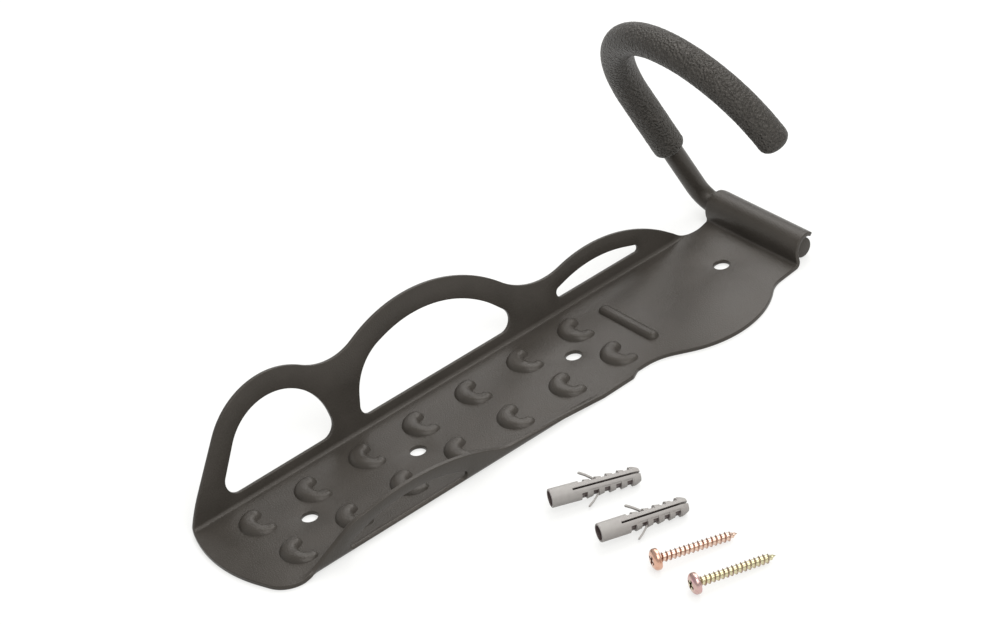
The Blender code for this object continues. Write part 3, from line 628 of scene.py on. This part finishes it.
class Blank:
    """Points of the flat blank with their pressed height and how far the edge rounding lowers them."""

    def __init__(self):
        self.points = []
        self.edges = []
        self.lift = []
        self.drop = []

    def add(self, x, y, lift=0.0, drop=0.0):
        self.points.append(Vector((x, y)))
        self.lift.append(lift)
        self.drop.append(drop)
        return len(self.points) - 1

    def add_edge_loop(self, loop, radius):
        """The cut edge and three loops inside it, which round it off."""
        for degrees in EDGE_STEPS_DEG:
            inset = radius * (1.0 - cos(radians(degrees)))
            drop = radius * (1.0 - sin(radians(degrees)))
            ids = [self.add(x - nx * inset, y - ny * inset, 0.0, drop) for x, y, nx, ny in loop]
            self.edges.extend(zip(ids, ids[1:] + ids[:1]))

    def add_rows(self, rows, outline, holes):
        """The parts of the rows that run in the sheet, clear of its edges."""
        for row in rows:
            last = None
            for point in row:
                clear = all(loop_distance(point, loop) > ROW_CLEARANCE for loop in (outline, *holes))
                keep = clear and inside_loop(point, outline)
                keep = keep and not any(inside_loop(point, hole) for hole in holes)
                if not keep:
                    last = None
                    continue
                made = self.add(*point)
                if last is not None:
                    self.edges.append((last, made))
                last = made

    def triangles(self, outline, holes):
        """The blank's points, its triangles, and the lift and drop of each point."""
        flat, _, faces, origin, _, _ = delaunay_2d_cdt(self.points, self.edges, [], 0, MERGE_DISTANCE)
        lift = [max((self.lift[n] for n in ids), default=0.0) for ids in origin]
        drop = [max((self.drop[n] for n in ids), default=0.0) for ids in origin]
        kept = []
        for face in faces:
            middle = sum((flat[n] for n in face), Vector((0.0, 0.0))) / len(face)
            if inside_loop(middle, outline) and not any(inside_loop(middle, hole) for hole in holes):
                kept.append(tuple(face))
        return flat, kept, lift, drop


def sheet_solid(flat, faces, lift, drop):
    """Both faces of the sheet and its cut edges, as one closed body."""
    used = sorted({n for face in faces for n in face})
    index = {n: count for count, n in enumerate(used)}
    upper = [on_sheet(*flat[n], SHEET / 2 - drop[n], lift[n]) for n in used]
    lower = [on_sheet(*flat[n], drop[n] - SHEET / 2, lift[n]) for n in used]
    size = len(used)
    made = [tuple(index[n] for n in face) for face in faces]
    skin = list(made)
    skin.extend(tuple(n + size for n in reversed(face)) for face in made)
    edges = {(a, b) for face in made for a, b in zip(face, face[1:] + face[:1])}
    skin.extend((b, a, a + size, b + size) for a, b in edges if (b, a) not in edges)
    return upper + lower, skin


def make_plate(look):
    rows = blank_rows()
    outline = split_loop(belt(outline_circles(), 1.0), rows)
    windows = [split_loop(belt(circles, -1.0), rows) for circles in WINDOWS]
    holes = [circle_loop(0.0, y, SCREW_HOLE_RADIUS, HOLE_SIDES) for y in SCREW_HOLE_Y]
    blank = Blank()
    for loop in (outline, *windows):
        blank.add_edge_loop(loop, EDGE_ROUND)
    for loop in holes:
        blank.add_edge_loop(loop, HOLE_ROUND)
    blank.add_rows(rows, outline, windows + holes)
    for place in dimple_places():
        for x, y, height in dimple_points(place):
            blank.add(x, y, height)
    for x, y, height in bar_points():
        blank.add(x, y, height)
    points, skin = sheet_solid(*blank.triangles(outline, windows + holes))
    plate = finish_mesh("pressed_plate", points, skin, look)
    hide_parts("wall_plate")
    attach(plate, "root")


def hook_path():
    """Pieces of the rod's centre line: (length, function of distance) with points in the hook's plane."""
    lean = radians(SHANK_LEAN)
    turn = pi / 2 - lean
    straight = ROD_END_X + ELBOW_X
    elbow = ELBOW_RADIUS * turn
    arch = ARCH_RADIUS * radians(ARCH_TURN)
    bend_end = Vector((-ELBOW_X - ELBOW_RADIUS * sin(turn), ELBOW_RADIUS * (1.0 - cos(turn))))
    shank_way = Vector((-sin(lean), cos(lean)))
    shank_end = bend_end + shank_way * SHANK_LENGTH
    centre = shank_end + Vector((ARCH_RADIUS * cos(lean), ARCH_RADIUS * sin(lean)))

    def foot(run):
        return Vector((ROD_END_X - run, 0.0)), pi

    def elbow_at(run):
        angle = run / ELBOW_RADIUS
        point = Vector((-ELBOW_X - ELBOW_RADIUS * sin(angle), ELBOW_RADIUS * (1.0 - cos(angle))))
        return point, pi - angle

    def shank(run):
        return bend_end + shank_way * run, pi - turn

    def arch_at(run):
        angle = pi + lean - run / ARCH_RADIUS
        point = centre + Vector((cos(angle), sin(angle))) * ARCH_RADIUS
        return point, angle - pi / 2

    return ((straight, foot), (elbow, elbow_at), (SHANK_LENGTH, shank), (arch, arch_at))


def path_point(pieces, run):
    """Point and direction of the centre line at this distance from the rod's end."""
    for length, piece in pieces[:-1]:
        if run <= length:
            return piece(run)
        run -= length
    return pieces[-1][1](run)


def in_space(point):
    """Where a point of the hook's plane is in the frame."""
    tilt = radians(HOOK_TILT)
    return Vector((point.x, ROD_Y + point.y * sin(tilt), ROD_Z + point.y * cos(tilt)))


def ring(pieces, run, radius, parts, ahead=0.0):
    """Points around the path at this distance, moved ahead along it."""
    point, way = path_point(pieces, run)
    way_vector = Vector((cos(way), sin(way)))
    side = Vector((-way_vector.y, way_vector.x))
    centre = in_space(point + way_vector * ahead)
    across = in_space(point + side) - in_space(point)
    out = (in_space(point + way_vector) - in_space(point)).cross(across)
    return [centre + across * (radius * cos(t)) + out * (radius * sin(t)) for t in turns(parts)]


def capped(rings):
    """A closed body from rings of equal size, with a flat face at either end."""
    parts = len(rings[0])
    faces = []
    for level in range(len(rings) - 1):
        for n in range(parts):
            a = level * parts + n
            b = level * parts + (n + 1) % parts
            faces.append((a, b, b + parts, a + parts))
    last = (len(rings) - 1) * parts
    faces.append(tuple(reversed(range(parts))))
    faces.append(tuple(range(last, last + parts)))
    return [point for level in rings for point in level], faces


def make_rod(look):
    pieces = hook_path()
    total = bore_end(pieces) - FIT
    straight = pieces[0][0]
    runs = [straight * n / ROD_FOOT_RINGS for n in range(1, ROD_FOOT_RINGS)]
    runs.extend(straight + (total - straight) * n / ROD_RINGS for n in range(ROD_RINGS + 1))
    rings = []
    for degrees in EDGE_STEPS_DEG:
        inset = ROD_EDGE * (1.0 - sin(radians(degrees)))
        ahead = ROD_EDGE * (1.0 - cos(radians(degrees)))
        rings.append(ring(pieces, ahead, ROD_RADIUS - inset, ROD_SIDES))
    rings.extend(ring(pieces, run, ROD_RADIUS, ROD_SIDES) for run in runs)
    points, faces = capped(rings)
    rod = finish_mesh("bent_rod", points, faces, look)
    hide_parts("hook_rod")
    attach(rod, "root")


def foam_lip(pieces, start, bore):
    """Rings around the sleeve's open end, from its bore to its skin."""
    made = []
    lip = FOAM_RADIUS - bore - FOAM_LIP_EDGE
    for degrees in FOAM_LIP_STEPS_DEG:
        turn = radians(degrees)
        inset = lip * (1.0 - sin(turn))
        ahead = FOAM_LIP * (1.0 - cos(turn))
        made.append(ring(pieces, start + ahead, FOAM_RADIUS - inset, FOAM_SIDES))
    return made


def foam_end(pieces, total):
    """Rings over the sleeve's closed end."""
    made = []
    for part in range(1, round(90.0 / FOAM_TIP_STEP_DEG) + 1):
        turn = radians(FOAM_TIP_STEP_DEG) * part
        inset = FOAM_TIP * (1.0 - cos(turn))
        made.append(ring(pieces, total, FOAM_TIP_RADIUS - inset, FOAM_SIDES, FOAM_TIP * sin(turn)))
    for share in FOAM_TIP_SHARES:
        made.append(ring(pieces, total, (FOAM_TIP_RADIUS - FOAM_TIP) * share, FOAM_SIDES, FOAM_TIP))
    return made


def foam_rings():
    """Rings of the sleeve's bore, and of its skin from the open end to the closed one."""
    pieces = hook_path()
    straight, elbow, _, _ = (length for length, _ in pieces)
    total = sum(length for length, _ in pieces)
    start = straight + elbow + FOAM_START - ELBOW_RADIUS
    bore = ROD_RADIUS + FIT
    first = start + FOAM_LIP
    runs = [first + (total - start - FOAM_LIP) * n / FOAM_RINGS for n in range(FOAM_RINGS + 1)]
    # The bore needs few rings, and none near its end
    bore_runs = [bore_end(pieces), *reversed(runs[:-40:16]), start + FOAM_LIP_EDGE]
    inner = [ring(pieces, run, bore, FOAM_SIDES) for run in bore_runs]
    skin = foam_lip(pieces, start, bore)
    for run in runs:
        share = (run - start) / (total - start)
        radius = FOAM_RADIUS + (FOAM_TIP_RADIUS - FOAM_RADIUS) * share
        skin.append(ring(pieces, run, radius, FOAM_SIDES))
    skin.extend(foam_end(pieces, total))
    return inner, skin


def make_foam(look):
    """The sleeve, with a rounded lip, a rounded closed end and a skin of small hollows."""
    inner, skin = foam_rings()
    for level in skin:
        for n, point in enumerate(level):
            level[n] = point + point_away(point, level) * pores(point)
    points, faces = capped(inner + skin)
    foam = finish_mesh("foam_sleeve", points, faces, look)
    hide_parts("foam_grip")
    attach(foam, "root")


def point_away(point, level):
    """Direction from the middle of a ring to one of its points."""
    quarters = level[::len(level) // 4]
    away = point - sum(quarters, Vector()) / len(quarters)
    return away.normalized() if away.length > TINY else Vector()


def pores(point):
    """Height of the foam's skin at a point: fine wrinkles and shallow hollows."""
    height = 0.0
    for size, depth in (SKIN_WRINKLES, SKIN_HOLLOWS):
        height += depth * fractal(point / size, 1.0, 2.0, 2, noise_basis="PERLIN_ORIGINAL")
    return max(SKIN_LIMITS[0], min(SKIN_LIMITS[1], height)) - SKIN_SINK


def bore_end(pieces):
    """Distance along the path where the foam's bore ends."""
    return sum(length for length, _ in pieces) + FOAM_TIP - FOAM_TIP_WALL


def lay(obj, spot, height, pitch, roll):
    """Puts a piece drawn along +Y at the origin on its place on the floor."""
    turn = Matrix.Rotation(radians(-spot[2]), 4, "Z")
    turn = turn @ Matrix.Rotation(radians(-pitch), 4, "X")
    turn = turn @ Matrix.Rotation(radians(roll), 4, "Y")
    place = Matrix.Translation(Vector((spot[0], spot[1], height)) * MM)
    obj.data.transform(place @ turn)


def plug_radius(along, angle):
    """Outer radius of a plug at a distance from its mouth and an angle from its slot's side."""
    radius = PLUG_RADIUS
    if along > PLUG_SHOULDER:
        share = (along - PLUG_SHOULDER) / (PLUG_LENGTH - PLUG_SHOULDER)
        radius -= (PLUG_RADIUS - PLUG_NOSE_RADIUS) * share**PLUG_NOSE_CURVE
    side = 90.0 - math.degrees(abs(math.asin(cos(angle))))
    on_fin = smooth_step((FIN_DEG - side) / FIN_EDGE_DEG)
    in_pocket = smooth_step((POCKET_DEG - side) / FIN_EDGE_DEG)
    from_step = along - PLUG_FIRST_STEP
    if on_fin <= 0.0 or from_step < -POCKET_LENGTH - POCKET_MARGIN:
        return radius
    fin = min(FINS - 1, max(0, math.ceil((from_step - NUDGE) / FIN_PITCH)))
    before = PLUG_FIRST_STEP + FIN_PITCH * fin - along
    if before < 0.0:
        fall = 0.0 if along > PLUG_SHOULDER else FIN_FALL * min(1.0, -before / FIN_FALL_RUN)
        return radius - fall * on_fin
    front = smooth_step(before / POCKET_FRONT)
    wall = front * smooth_step((POCKET_LENGTH - before) / POCKET_BACK)
    past = FIN_PITCH - before
    fall = FIN_FALL * min(1.0, past / FIN_FALL_RUN) if fin > 0 else 0.0
    return radius - max(fall * on_fin, POCKET_DEPTH * wall * in_pocket)


def turned(rings):
    """A closed body around +Y, from rings of points given as distance along and radius."""
    levels = []
    for level in rings:
        placed = []
        for turn, (along, radius) in zip(turns(len(level)), level):
            placed.append(Vector((radius * cos(turn), along, radius * sin(turn))))
        levels.append(placed)
    return capped(levels)


def plug_body():
    """A plug without its slot and barbs: the bore from its end to the mouth, then the outside."""
    profile = []
    for share in PLUG_BORE_SHARES:
        radius = PLUG_BORE + (PLUG_BORE_END - PLUG_BORE) * share
        profile.append((PLUG_BORE_DEPTH * share, radius))
    profile.append((0.0, PLUG_RADIUS - PLUG_RIM))
    profile.append((PLUG_RIM_MIDDLE, PLUG_RADIUS - PLUG_RIM_MIDDLE))
    rings = [[place] * PLUG_SIDES for place in profile]
    for step in range(1, PLUG_RINGS + 1):
        along = PLUG_RIM + (PLUG_LENGTH - PLUG_RIM) * step / PLUG_RINGS
        rings.append([(along, plug_radius(along, turn)) for turn in turns(PLUG_SIDES)])
    rings.append([(PLUG_LENGTH, PLUG_NOSE_RADIUS * PLUG_NOSE_END)] * PLUG_SIDES)
    return turned(rings)


def barb_body(side):
    """A flat, slightly bowed strip that leaves the plug on this side and points to its mouth."""
    run = Vector((side * (BARB_END[1] - BARB_FOOT[1]), BARB_END[0] - BARB_FOOT[0], 0.0))
    across = Vector((-run.y, run.x, 0.0)).normalized() * (BARB_THICK / 2)
    rings = []
    for share, slim in BARB_LEVELS:
        bow = across.normalized() * (BARB_BOW * side * sin(pi * share))
        centre = Vector((side * BARB_FOOT[1], BARB_FOOT[0], 0.0)) + run * share + bow
        level = []
        for turn in turns(BARB_SIDES):
            corner = max(abs(cos(turn)), abs(sin(turn))) ** BARB_SQUARENESS
            aside = Vector((0.0, 0.0, BARB_WIDE / 2 * slim * sin(turn) / corner))
            level.append(centre + across * (slim * cos(turn) / corner) + aside)
        rings.append(level)
    return capped(rings)


def carve(obj, tool, operation="DIFFERENCE"):
    """Cuts the tool out of a piece, or adds it, and removes the tool."""
    modifier = obj.modifiers.new("carve", "BOOLEAN")
    modifier.operation = operation
    modifier.solver = "EXACT"
    modifier.object = tool
    shaped = bpy.data.meshes.new_from_object(obj.evaluated_get(bpy.context.evaluated_depsgraph_get()))
    obj.modifiers.clear()
    obj.data = shaped
    bpy.data.objects.remove(tool, do_unlink=True)


def block(name, centre, size):
    """A box to cut with."""
    corners = [(x, y, z) for x in (-0.5, 0.5) for y in (-0.5, 0.5) for z in (-0.5, 0.5)]
    points = [[c + k * s for c, k, s in zip(centre, corner, size)] for corner in corners]
    faces = [(0, 1, 3, 2), (4, 6, 7, 5), (0, 4, 5, 1), (2, 3, 7, 6), (0, 2, 6, 4), (1, 5, 7, 3)]
    return raw_object(name, points, faces)


def plug_pose():
    """How far a lying plug falls towards its nose, in radians, and how high its mouth's middle lies."""
    pitch = radians(PLUG_PITCH)
    height = PLUG_RADIUS * cos(pitch) + PLUG_SHOULDER * sin(pitch) + LIE_CLEARANCE
    return pitch, height


def make_plug(number, spot, look):
    points, faces = plug_body()
    plug = raw_object(f"nylon_plug_{number}", points, faces)
    slot_length = PLUG_LENGTH - PLUG_SLOT_STARTS + PLUG_RADIUS
    middle = PLUG_SLOT_STARTS + slot_length / 2
    for side in (-1.0, 1.0):
        points, faces = barb_body(side)
        carve(plug, raw_object("barb", points, faces), "UNION")
    carve(plug, block("slot", (0.0, middle, 0.0), (PLUG_SLOT, slot_length, 3.0 * PLUG_RADIUS)))
    dress(plug, look, PLUG_SMOOTH_DEG)
    _, height = plug_pose()
    lay(plug, spot, height, PLUG_PITCH, PLUG_ROLL)
    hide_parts(f"wall_plug_{number}")
    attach(plug, "root")


def thread_reach(along, angle):
    """Radius of the screw's shank with its thread, at a distance from the head's face and an angle."""
    tip_share = (SCREW_LENGTH - along) / SCREW_TIP
    taper = min(1.0, max(SCREW_TIP_END, tip_share)) ** SCREW_TIP_CURVE
    phase = (along - HEAD_HEIGHT) / THREAD_PITCH - angle / (2.0 * pi)
    from_crest = abs((phase % 1.0) - 0.5) * 2.0
    ridge = max(0.0, 1.0 - (from_crest / THREAD_WIDTH)) ** THREAD_CURVE
    start = smooth_step((along - HEAD_HEIGHT) / THREAD_RUN_IN)
    return (CORE_RADIUS + (THREAD_RADIUS - CORE_RADIUS) * ridge * start) * taper


def screw_pose():
    """How far a lying screw falls towards its tip, in radians, and how high its head's middle lies."""
    fall = math.asin((HEAD_RADIUS - THREAD_RADIUS) / (SCREW_LENGTH - SCREW_TIP - HEAD_HEIGHT))
    height = HEAD_RADIUS * cos(fall) + HEAD_HEIGHT * sin(fall) + LIE_CLEARANCE
    return fall, height


def screw_body():
    """A screw without its recess, from the middle of its head's face to its tip."""
    profile = [(0.0, HEAD_FACE_RADIUS * HEAD_FACE_RING)]
    for step in range(HEAD_RINGS + 1):
        turn = radians(90.0) * step / HEAD_RINGS
        radius = HEAD_FACE_RADIUS + (HEAD_RADIUS - HEAD_FACE_RADIUS) * sin(turn)
        profile.append((HEAD_DOME * (1.0 - cos(turn)), radius))
    profile.extend((HEAD_HEIGHT - back, HEAD_RADIUS - inset) for back, inset in HEAD_EDGE)
    profile.append((HEAD_HEIGHT, CORE_RADIUS + NECK_ROOM))
    rings = [[place] * SCREW_SIDES for place in profile]
    for step in range(1, SCREW_RINGS + 1):
        along = HEAD_HEIGHT + (SCREW_LENGTH - HEAD_HEIGHT) * step / SCREW_RINGS
        rings.append([(along, thread_reach(along, turn)) for turn in turns(SCREW_SIDES)])
    return turned(rings)


def make_screw(number, spot, look):
    points, faces = screw_body()
    screw = raw_object(f"zinc_screw_{number}", points, faces)
    for size in ((RECESS_WIDTH, RECESS_SPAN), (RECESS_SPAN, RECESS_WIDTH)):
        carve(screw, block("recess", (0.0, 0.0, 0.0), (size[0], 2.0 * RECESS_DEPTH, size[1])))
    dress(screw, look, SCREW_SMOOTH_DEG)
    fall, height = screw_pose()
    lay(screw, spot, height, math.degrees(fall), SCREW_ROLL)
    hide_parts(f"wood_screw_{number}")
    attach(screw, "root")


def nodes_of(look):
    tree = look.node_tree
    return tree.nodes, tree.links, tree.nodes["Principled BSDF"]


def fill(node, values):
    """Sets the inputs named of a node."""
    for name, value in values.items():
        node.inputs[name].default_value = value


def new_look(name, colour, roughness, metallic=0.0):
    look = bpy.data.materials.new(name)
    look.use_nodes = True
    _, _, shader = nodes_of(look)
    fill(shader, {"Base Color": (*colour, 1.0), "Roughness": roughness, "Metallic": metallic})
    return look


def noise(look, scale, detail):
    """Noise that is fixed to the piece, as a value around a half."""
    nodes, links, _ = nodes_of(look)
    place = nodes.new("ShaderNodeTexCoord")
    texture = nodes.new("ShaderNodeTexNoise")
    fill(texture, {"Scale": scale, "Detail": detail, "Roughness": 0.5})
    links.new(place.outputs["Object"], texture.inputs["Vector"])
    return texture.outputs["Fac"]


def ramp(look, value, low, high, from_value, to_value):
    """Maps a value from one range to another, without going past either end."""
    nodes, links, _ = nodes_of(look)
    mapped = nodes.new("ShaderNodeMapRange")
    fill(mapped, {"From Min": low, "From Max": high, "To Min": from_value, "To Max": to_value})
    links.new(value, mapped.inputs["Value"])
    return mapped.outputs["Result"]


def combined(look, operation, first, second):
    """Two values joined by the operation named."""
    nodes, links, _ = nodes_of(look)
    made = nodes.new("ShaderNodeMath")
    made.operation = operation
    links.new(first, made.inputs[0])
    links.new(second, made.inputs[1])
    return made.outputs["Value"]


def vector_node(look, operation, vector, fixed=None):
    """The operation named, on a vector and a fixed one."""
    nodes, links, _ = nodes_of(look)
    made = nodes.new("ShaderNodeVectorMath")
    made.operation = operation
    links.new(vector, made.inputs[0])
    if fixed is not None:
        made.inputs[1].default_value = fixed
    return made


def bump(look, height, strength, distance, below=None):
    """Relief on the surface, on top of the relief below it if there is one."""
    nodes, links, shader = nodes_of(look)
    made = nodes.new("ShaderNodeBump")
    fill(made, {"Strength": strength, "Distance": distance})
    links.new(height, made.inputs["Height"])
    if below is not None:
        links.new(below.outputs["Normal"], made.inputs["Normal"])
    links.new(made.outputs["Normal"], shader.inputs["Normal"])
    return made


def mixed(look, share, first, second):
    """A mix of two colours, each of which is fixed or comes from another node."""
    nodes, links, _ = nodes_of(look)
    mix = nodes.new("ShaderNodeMix")
    mix.data_type = "RGBA"
    links.new(share, mix.inputs["Factor"])
    for socket, colour in zip(MIX_COLOURS, (first, second)):
        if isinstance(colour, tuple):
            mix.inputs[socket].default_value = (*colour, 1.0)
        else:
            links.new(colour, mix.inputs[socket])
    return mix.outputs[MIX_RESULT]


def clouded(look, value, used, tints):
    """Two tints, spread over the part of a noise's range that is used."""
    return mixed(look, ramp(look, value, *used, 0.0, 1.0), *tints)


def coat_look():
    """Satin powder coat: fine orange peel and faint clouds."""
    look = new_look("powder_coat", (0.045, 0.042, 0.038), 0.42)
    _, links, shader = nodes_of(look)
    cloud = noise(look, COAT_CLOUD, 3.0)
    links.new(clouded(look, cloud, CLOUD_RANGE, COAT_TINTS), shader.inputs["Base Color"])
    fill(shader, {"Specular Tint": (1.0, 0.95, 0.9, 1.0), "Specular IOR Level": 0.34})
    links.new(ramp(look, cloud, *CLOUD_RANGE, *COAT_ROUGHNESS), shader.inputs["Roughness"])
    scale, depth = COAT_GRAIN
    bump(look, noise(look, scale, 2.0), 0.9, depth)
    return look


def foam_look():
    """Black foam skin with small pebbles, grey where it's rubbed."""
    look = new_look("foam_skin", (0.046, 0.041, 0.036), 0.46)
    nodes, links, shader = nodes_of(look)
    fill(shader, {"Specular Tint": (1.0, 0.96, 0.91, 1.0)})
    place = nodes.new("ShaderNodeTexCoord")
    cells = nodes.new("ShaderNodeTexVoronoi")
    cells.feature = "SMOOTH_F1"
    fill(cells, {"Scale": FOAM_CELLS[0], "Smoothness": 0.4})
    links.new(place.outputs["Object"], cells.inputs["Vector"])
    fine = noise(look, FOAM_GRAIN[0], 3.0)
    links.new(clouded(look, fine, FOAM_RANGE, FOAM_TINTS), shader.inputs["Base Color"])
    first = bump(look, fine, 1.0, FOAM_GRAIN[1])
    bump(look, cells.outputs["Distance"], 1.0, FOAM_CELLS[1], first)
    return look


def weld_look():
    """Weld bead under the coat: coarse ripples."""
    look = new_look("coated_weld", (0.040, 0.036, 0.031), 0.5)
    _, links, shader = nodes_of(look)
    scale, depth = WELD_RIPPLE
    ripple = noise(look, scale, 3.0)
    links.new(clouded(look, ripple, CLOUD_RANGE, WELD_TINTS), shader.inputs["Base Color"])
    bump(look, ripple, 0.9, depth)
    return look


def axis_place(look, spot, height, fall):
    """How far a surface point is from a lying piece's axis, and how far along it, in metres."""
    nodes, _, _ = nodes_of(look)
    heading = radians(spot[2])
    way = (sin(heading) * cos(fall), cos(heading) * cos(fall), -sin(fall))
    start = (spot[0] * MM, spot[1] * MM, height * MM)
    place = nodes.new("ShaderNodeTexCoord")
    away = vector_node(look, "SUBTRACT", place.outputs["Object"], start)
    across = vector_node(look, "CROSS_PRODUCT", away.outputs["Vector"], way)
    length = vector_node(look, "LENGTH", across.outputs["Vector"])
    along = vector_node(look, "DOT_PRODUCT", away.outputs["Vector"], way)
    return length.outputs["Value"], along.outputs["Value"]


def plug_shade_mask(look, spot):
    """Where a plug's painted shade goes: 1 in its bore and on its pockets' floors, and 0 on its outside
    and its nose.
    """
    pitch, height = plug_pose()
    radius, along = axis_place(look, spot, height, pitch)
    low, high = BORE_FADE_RADII
    within = ramp(look, radius, low * MM, high * MM, 1.0, 0.0)
    low, high = BORE_FADE_ENDS
    before_nose = ramp(look, along, low * MM, high * MM, 1.0, 0.0)
    return combined(look, "MULTIPLY", within, before_nose)


def nylon_look(number, spot):
    """Moulded grey nylon: satin, slightly cloudy, with a fine grain, and painted shade in the bore and on
    the pockets' floors.
    """
    look = new_look(f"plug_nylon_{number}", (0.40, 0.38, 0.36), 0.5)
    _, links, shader = nodes_of(look)
    fill(shader, {"Subsurface Weight": 0.05, "Subsurface Radius": (0.001, 0.001, 0.001)})
    cloud = noise(look, NYLON_CLOUD, 3.0)
    body = clouded(look, cloud, CLOUD_RANGE, NYLON_TINTS)
    # The bore and the pockets' floors get painted shade mixed over the nylon's colour
    links.new(mixed(look, plug_shade_mask(look, spot), body, BORE_PAINTED_SHADE), shader.inputs["Base Color"])
    links.new(ramp(look, cloud, *CLOUD_RANGE, *NYLON_ROUGHNESS), shader.inputs["Roughness"])
    scale, depth = NYLON_GRAIN
    bump(look, noise(look, scale, 2.0), 0.35, depth)
    return look


def zinc_look(name, spot, root, crest, head):
    """Passivated zinc: a pale thread root, darker crests, and a clouded head of another tone."""
    look = new_look(name, head, 0.3, 1.0)
    nodes, links, shader = nodes_of(look)
    fall, height = screw_pose()
    radius, _ = axis_place(look, spot, height, fall)
    share = ramp(look, radius, 0.0, HEAD_RADIUS * MM, 0.0, 1.0)
    bands = nodes.new("ShaderNodeValToRGB")
    colours = bands.color_ramp
    stops = (
        (CORE_RADIUS / HEAD_RADIUS, root),
        (ZINC_CREST_PLACE * THREAD_RADIUS / HEAD_RADIUS, crest),
        (ZINC_HEAD_PLACE * THREAD_RADIUS / HEAD_RADIUS, head),
    )
    colours.elements[0].position = 0.0
    colours.elements[0].color = (*root, 1.0)
    colours.elements[1].position = 1.0
    colours.elements[1].color = (*head, 1.0)
    for position, colour in stops:
        colours.elements.new(position).color = (*colour, 1.0)
    links.new(share, bands.inputs["Fac"])
    cloud = ramp(look, noise(look, ZINC_CLOUD, 2.0), *ZINC_RANGE, 0.0, ZINC_CLOUD_SHARE)
    links.new(mixed(look, cloud, bands.outputs["Color"], root), shader.inputs["Base Color"])
    scale, depth = ZINC_GRAIN
    fine = noise(look, scale, 2.0)
    links.new(ramp(look, fine, *CLOUD_RANGE, *ZINC_ROUGHNESS), shader.inputs["Roughness"])
    bump(look, fine, 0.25, depth)
    return look


def set_camera():
    data = bpy.data.cameras.new("photo_camera")
    data.sensor_width = CAMERA_SENSOR
    data.lens = CAMERA_LENS
    data.clip_start, data.clip_end = CAMERA_CLIP
    camera = new_object("photo_camera", data)
    right = Vector(CAMERA_RIGHT).normalized()
    back = -Vector(CAMERA_FORWARD).normalized()
    up = back.cross(right)
    turn = Matrix((right, up, back)).transposed().to_4x4()
    camera.matrix_world = Matrix.Translation(Vector(CAMERA_PLACE) * MM) @ turn
    bpy.context.scene.camera = camera


def area_light(name, place, target, width, watts):
    data = bpy.data.lights.new(name, "AREA")
    data.shape = "RECTANGLE"
    data.size = width
    data.size_y = width
    data.energy = watts
    light = new_object(name, data)
    light.location = place
    way = Vector(target) - Vector(place)
    light.rotation_euler = way.to_track_quat("-Z", "Y").to_euler()


def floor_look():
    """A white floor whose shadows are faint to the camera, and which bounces less light than it shows."""
    look = new_look("floor_white", FLOOR_BOUNCE, 0.9)
    nodes, links, shader = nodes_of(look)
    path = nodes.new("ShaderNodeLightPath")
    seen = combined(look, "MAXIMUM", path.outputs["Is Camera Ray"], path.outputs["Is Glossy Ray"])
    through = combined(look, "MAXIMUM", seen, path.outputs["Is Transmission Ray"])
    glow = nodes.new("ShaderNodeEmission")
    fill(glow, {"Color": (*GLOW_COLOUR, 1.0), "Strength": GLOW_STRENGTH})
    paper = nodes.new("ShaderNodeBsdfDiffuse")
    fill(paper, {"Color": (*FLOOR_PAPER, 1.0)})
    shown = nodes.new("ShaderNodeMixShader")
    fill(shown, {"Fac": FLOOR_GLOW})
    links.new(paper.outputs["BSDF"], shown.inputs[1])
    links.new(glow.outputs["Emission"], shown.inputs[2])
    mix = nodes.new("ShaderNodeMixShader")
    links.new(through, mix.inputs["Fac"])
    links.new(shader.outputs["BSDF"], mix.inputs[1])
    links.new(shown.outputs["Shader"], mix.inputs[2])
    links.new(mix.outputs["Shader"], nodes["Material Output"].inputs["Surface"])
    return look


def set_stage():
    corners = [(x * FLOOR_REACH, y * FLOOR_REACH, 0.0) for x, y in ((-1, -1), (1, -1), (1, 1), (-1, 1))]
    floor_mesh = bpy.data.meshes.new("floor")
    floor_mesh.from_pydata(corners, [], [(0, 1, 2, 3)])
    floor_mesh.materials.append(floor_look())
    floor = new_object("floor", floor_mesh)
    floor.location = (0.0, 0.0, -FLOOR_DROP)
    for light in LIGHTS:
        area_light(*light)
    world = bpy.data.worlds.new("studio")
    world.use_nodes = True
    background = world.node_tree.nodes["Background"]
    fill(background, {"Color": (1.0, 1.0, 1.0, 1.0), "Strength": WORLD_STRENGTH})
    bpy.context.scene.world = world
    bpy.context.scene.view_settings.view_transform = "Standard"


def dress_nodes(looks):
    for node, look in looks.items():
        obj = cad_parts[node]
        obj.data.materials.clear()
        obj.data.materials.append(look)


def main():
    coat = coat_look()
    foam = foam_look()
    zincs = (
        zinc_look("zinc_copper", SCREW_SPOTS[0], *ZINC_COPPER),
        zinc_look("zinc_olive", SCREW_SPOTS[1], *ZINC_OLIVE),
    )
    make_plate(coat)
    make_rod(coat)
    make_foam(foam)
    for number, spot in enumerate(PLUG_SPOTS, 1):
        make_plug(number, spot, nylon_look(number, spot))
    for number, spot in enumerate(SCREW_SPOTS, 1):
        make_screw(number, spot, zincs[number - 1])
    weld = weld_look()
    dress_nodes({"weld_left": weld, "weld_right": weld})
    set_stage()
    set_camera()


main()
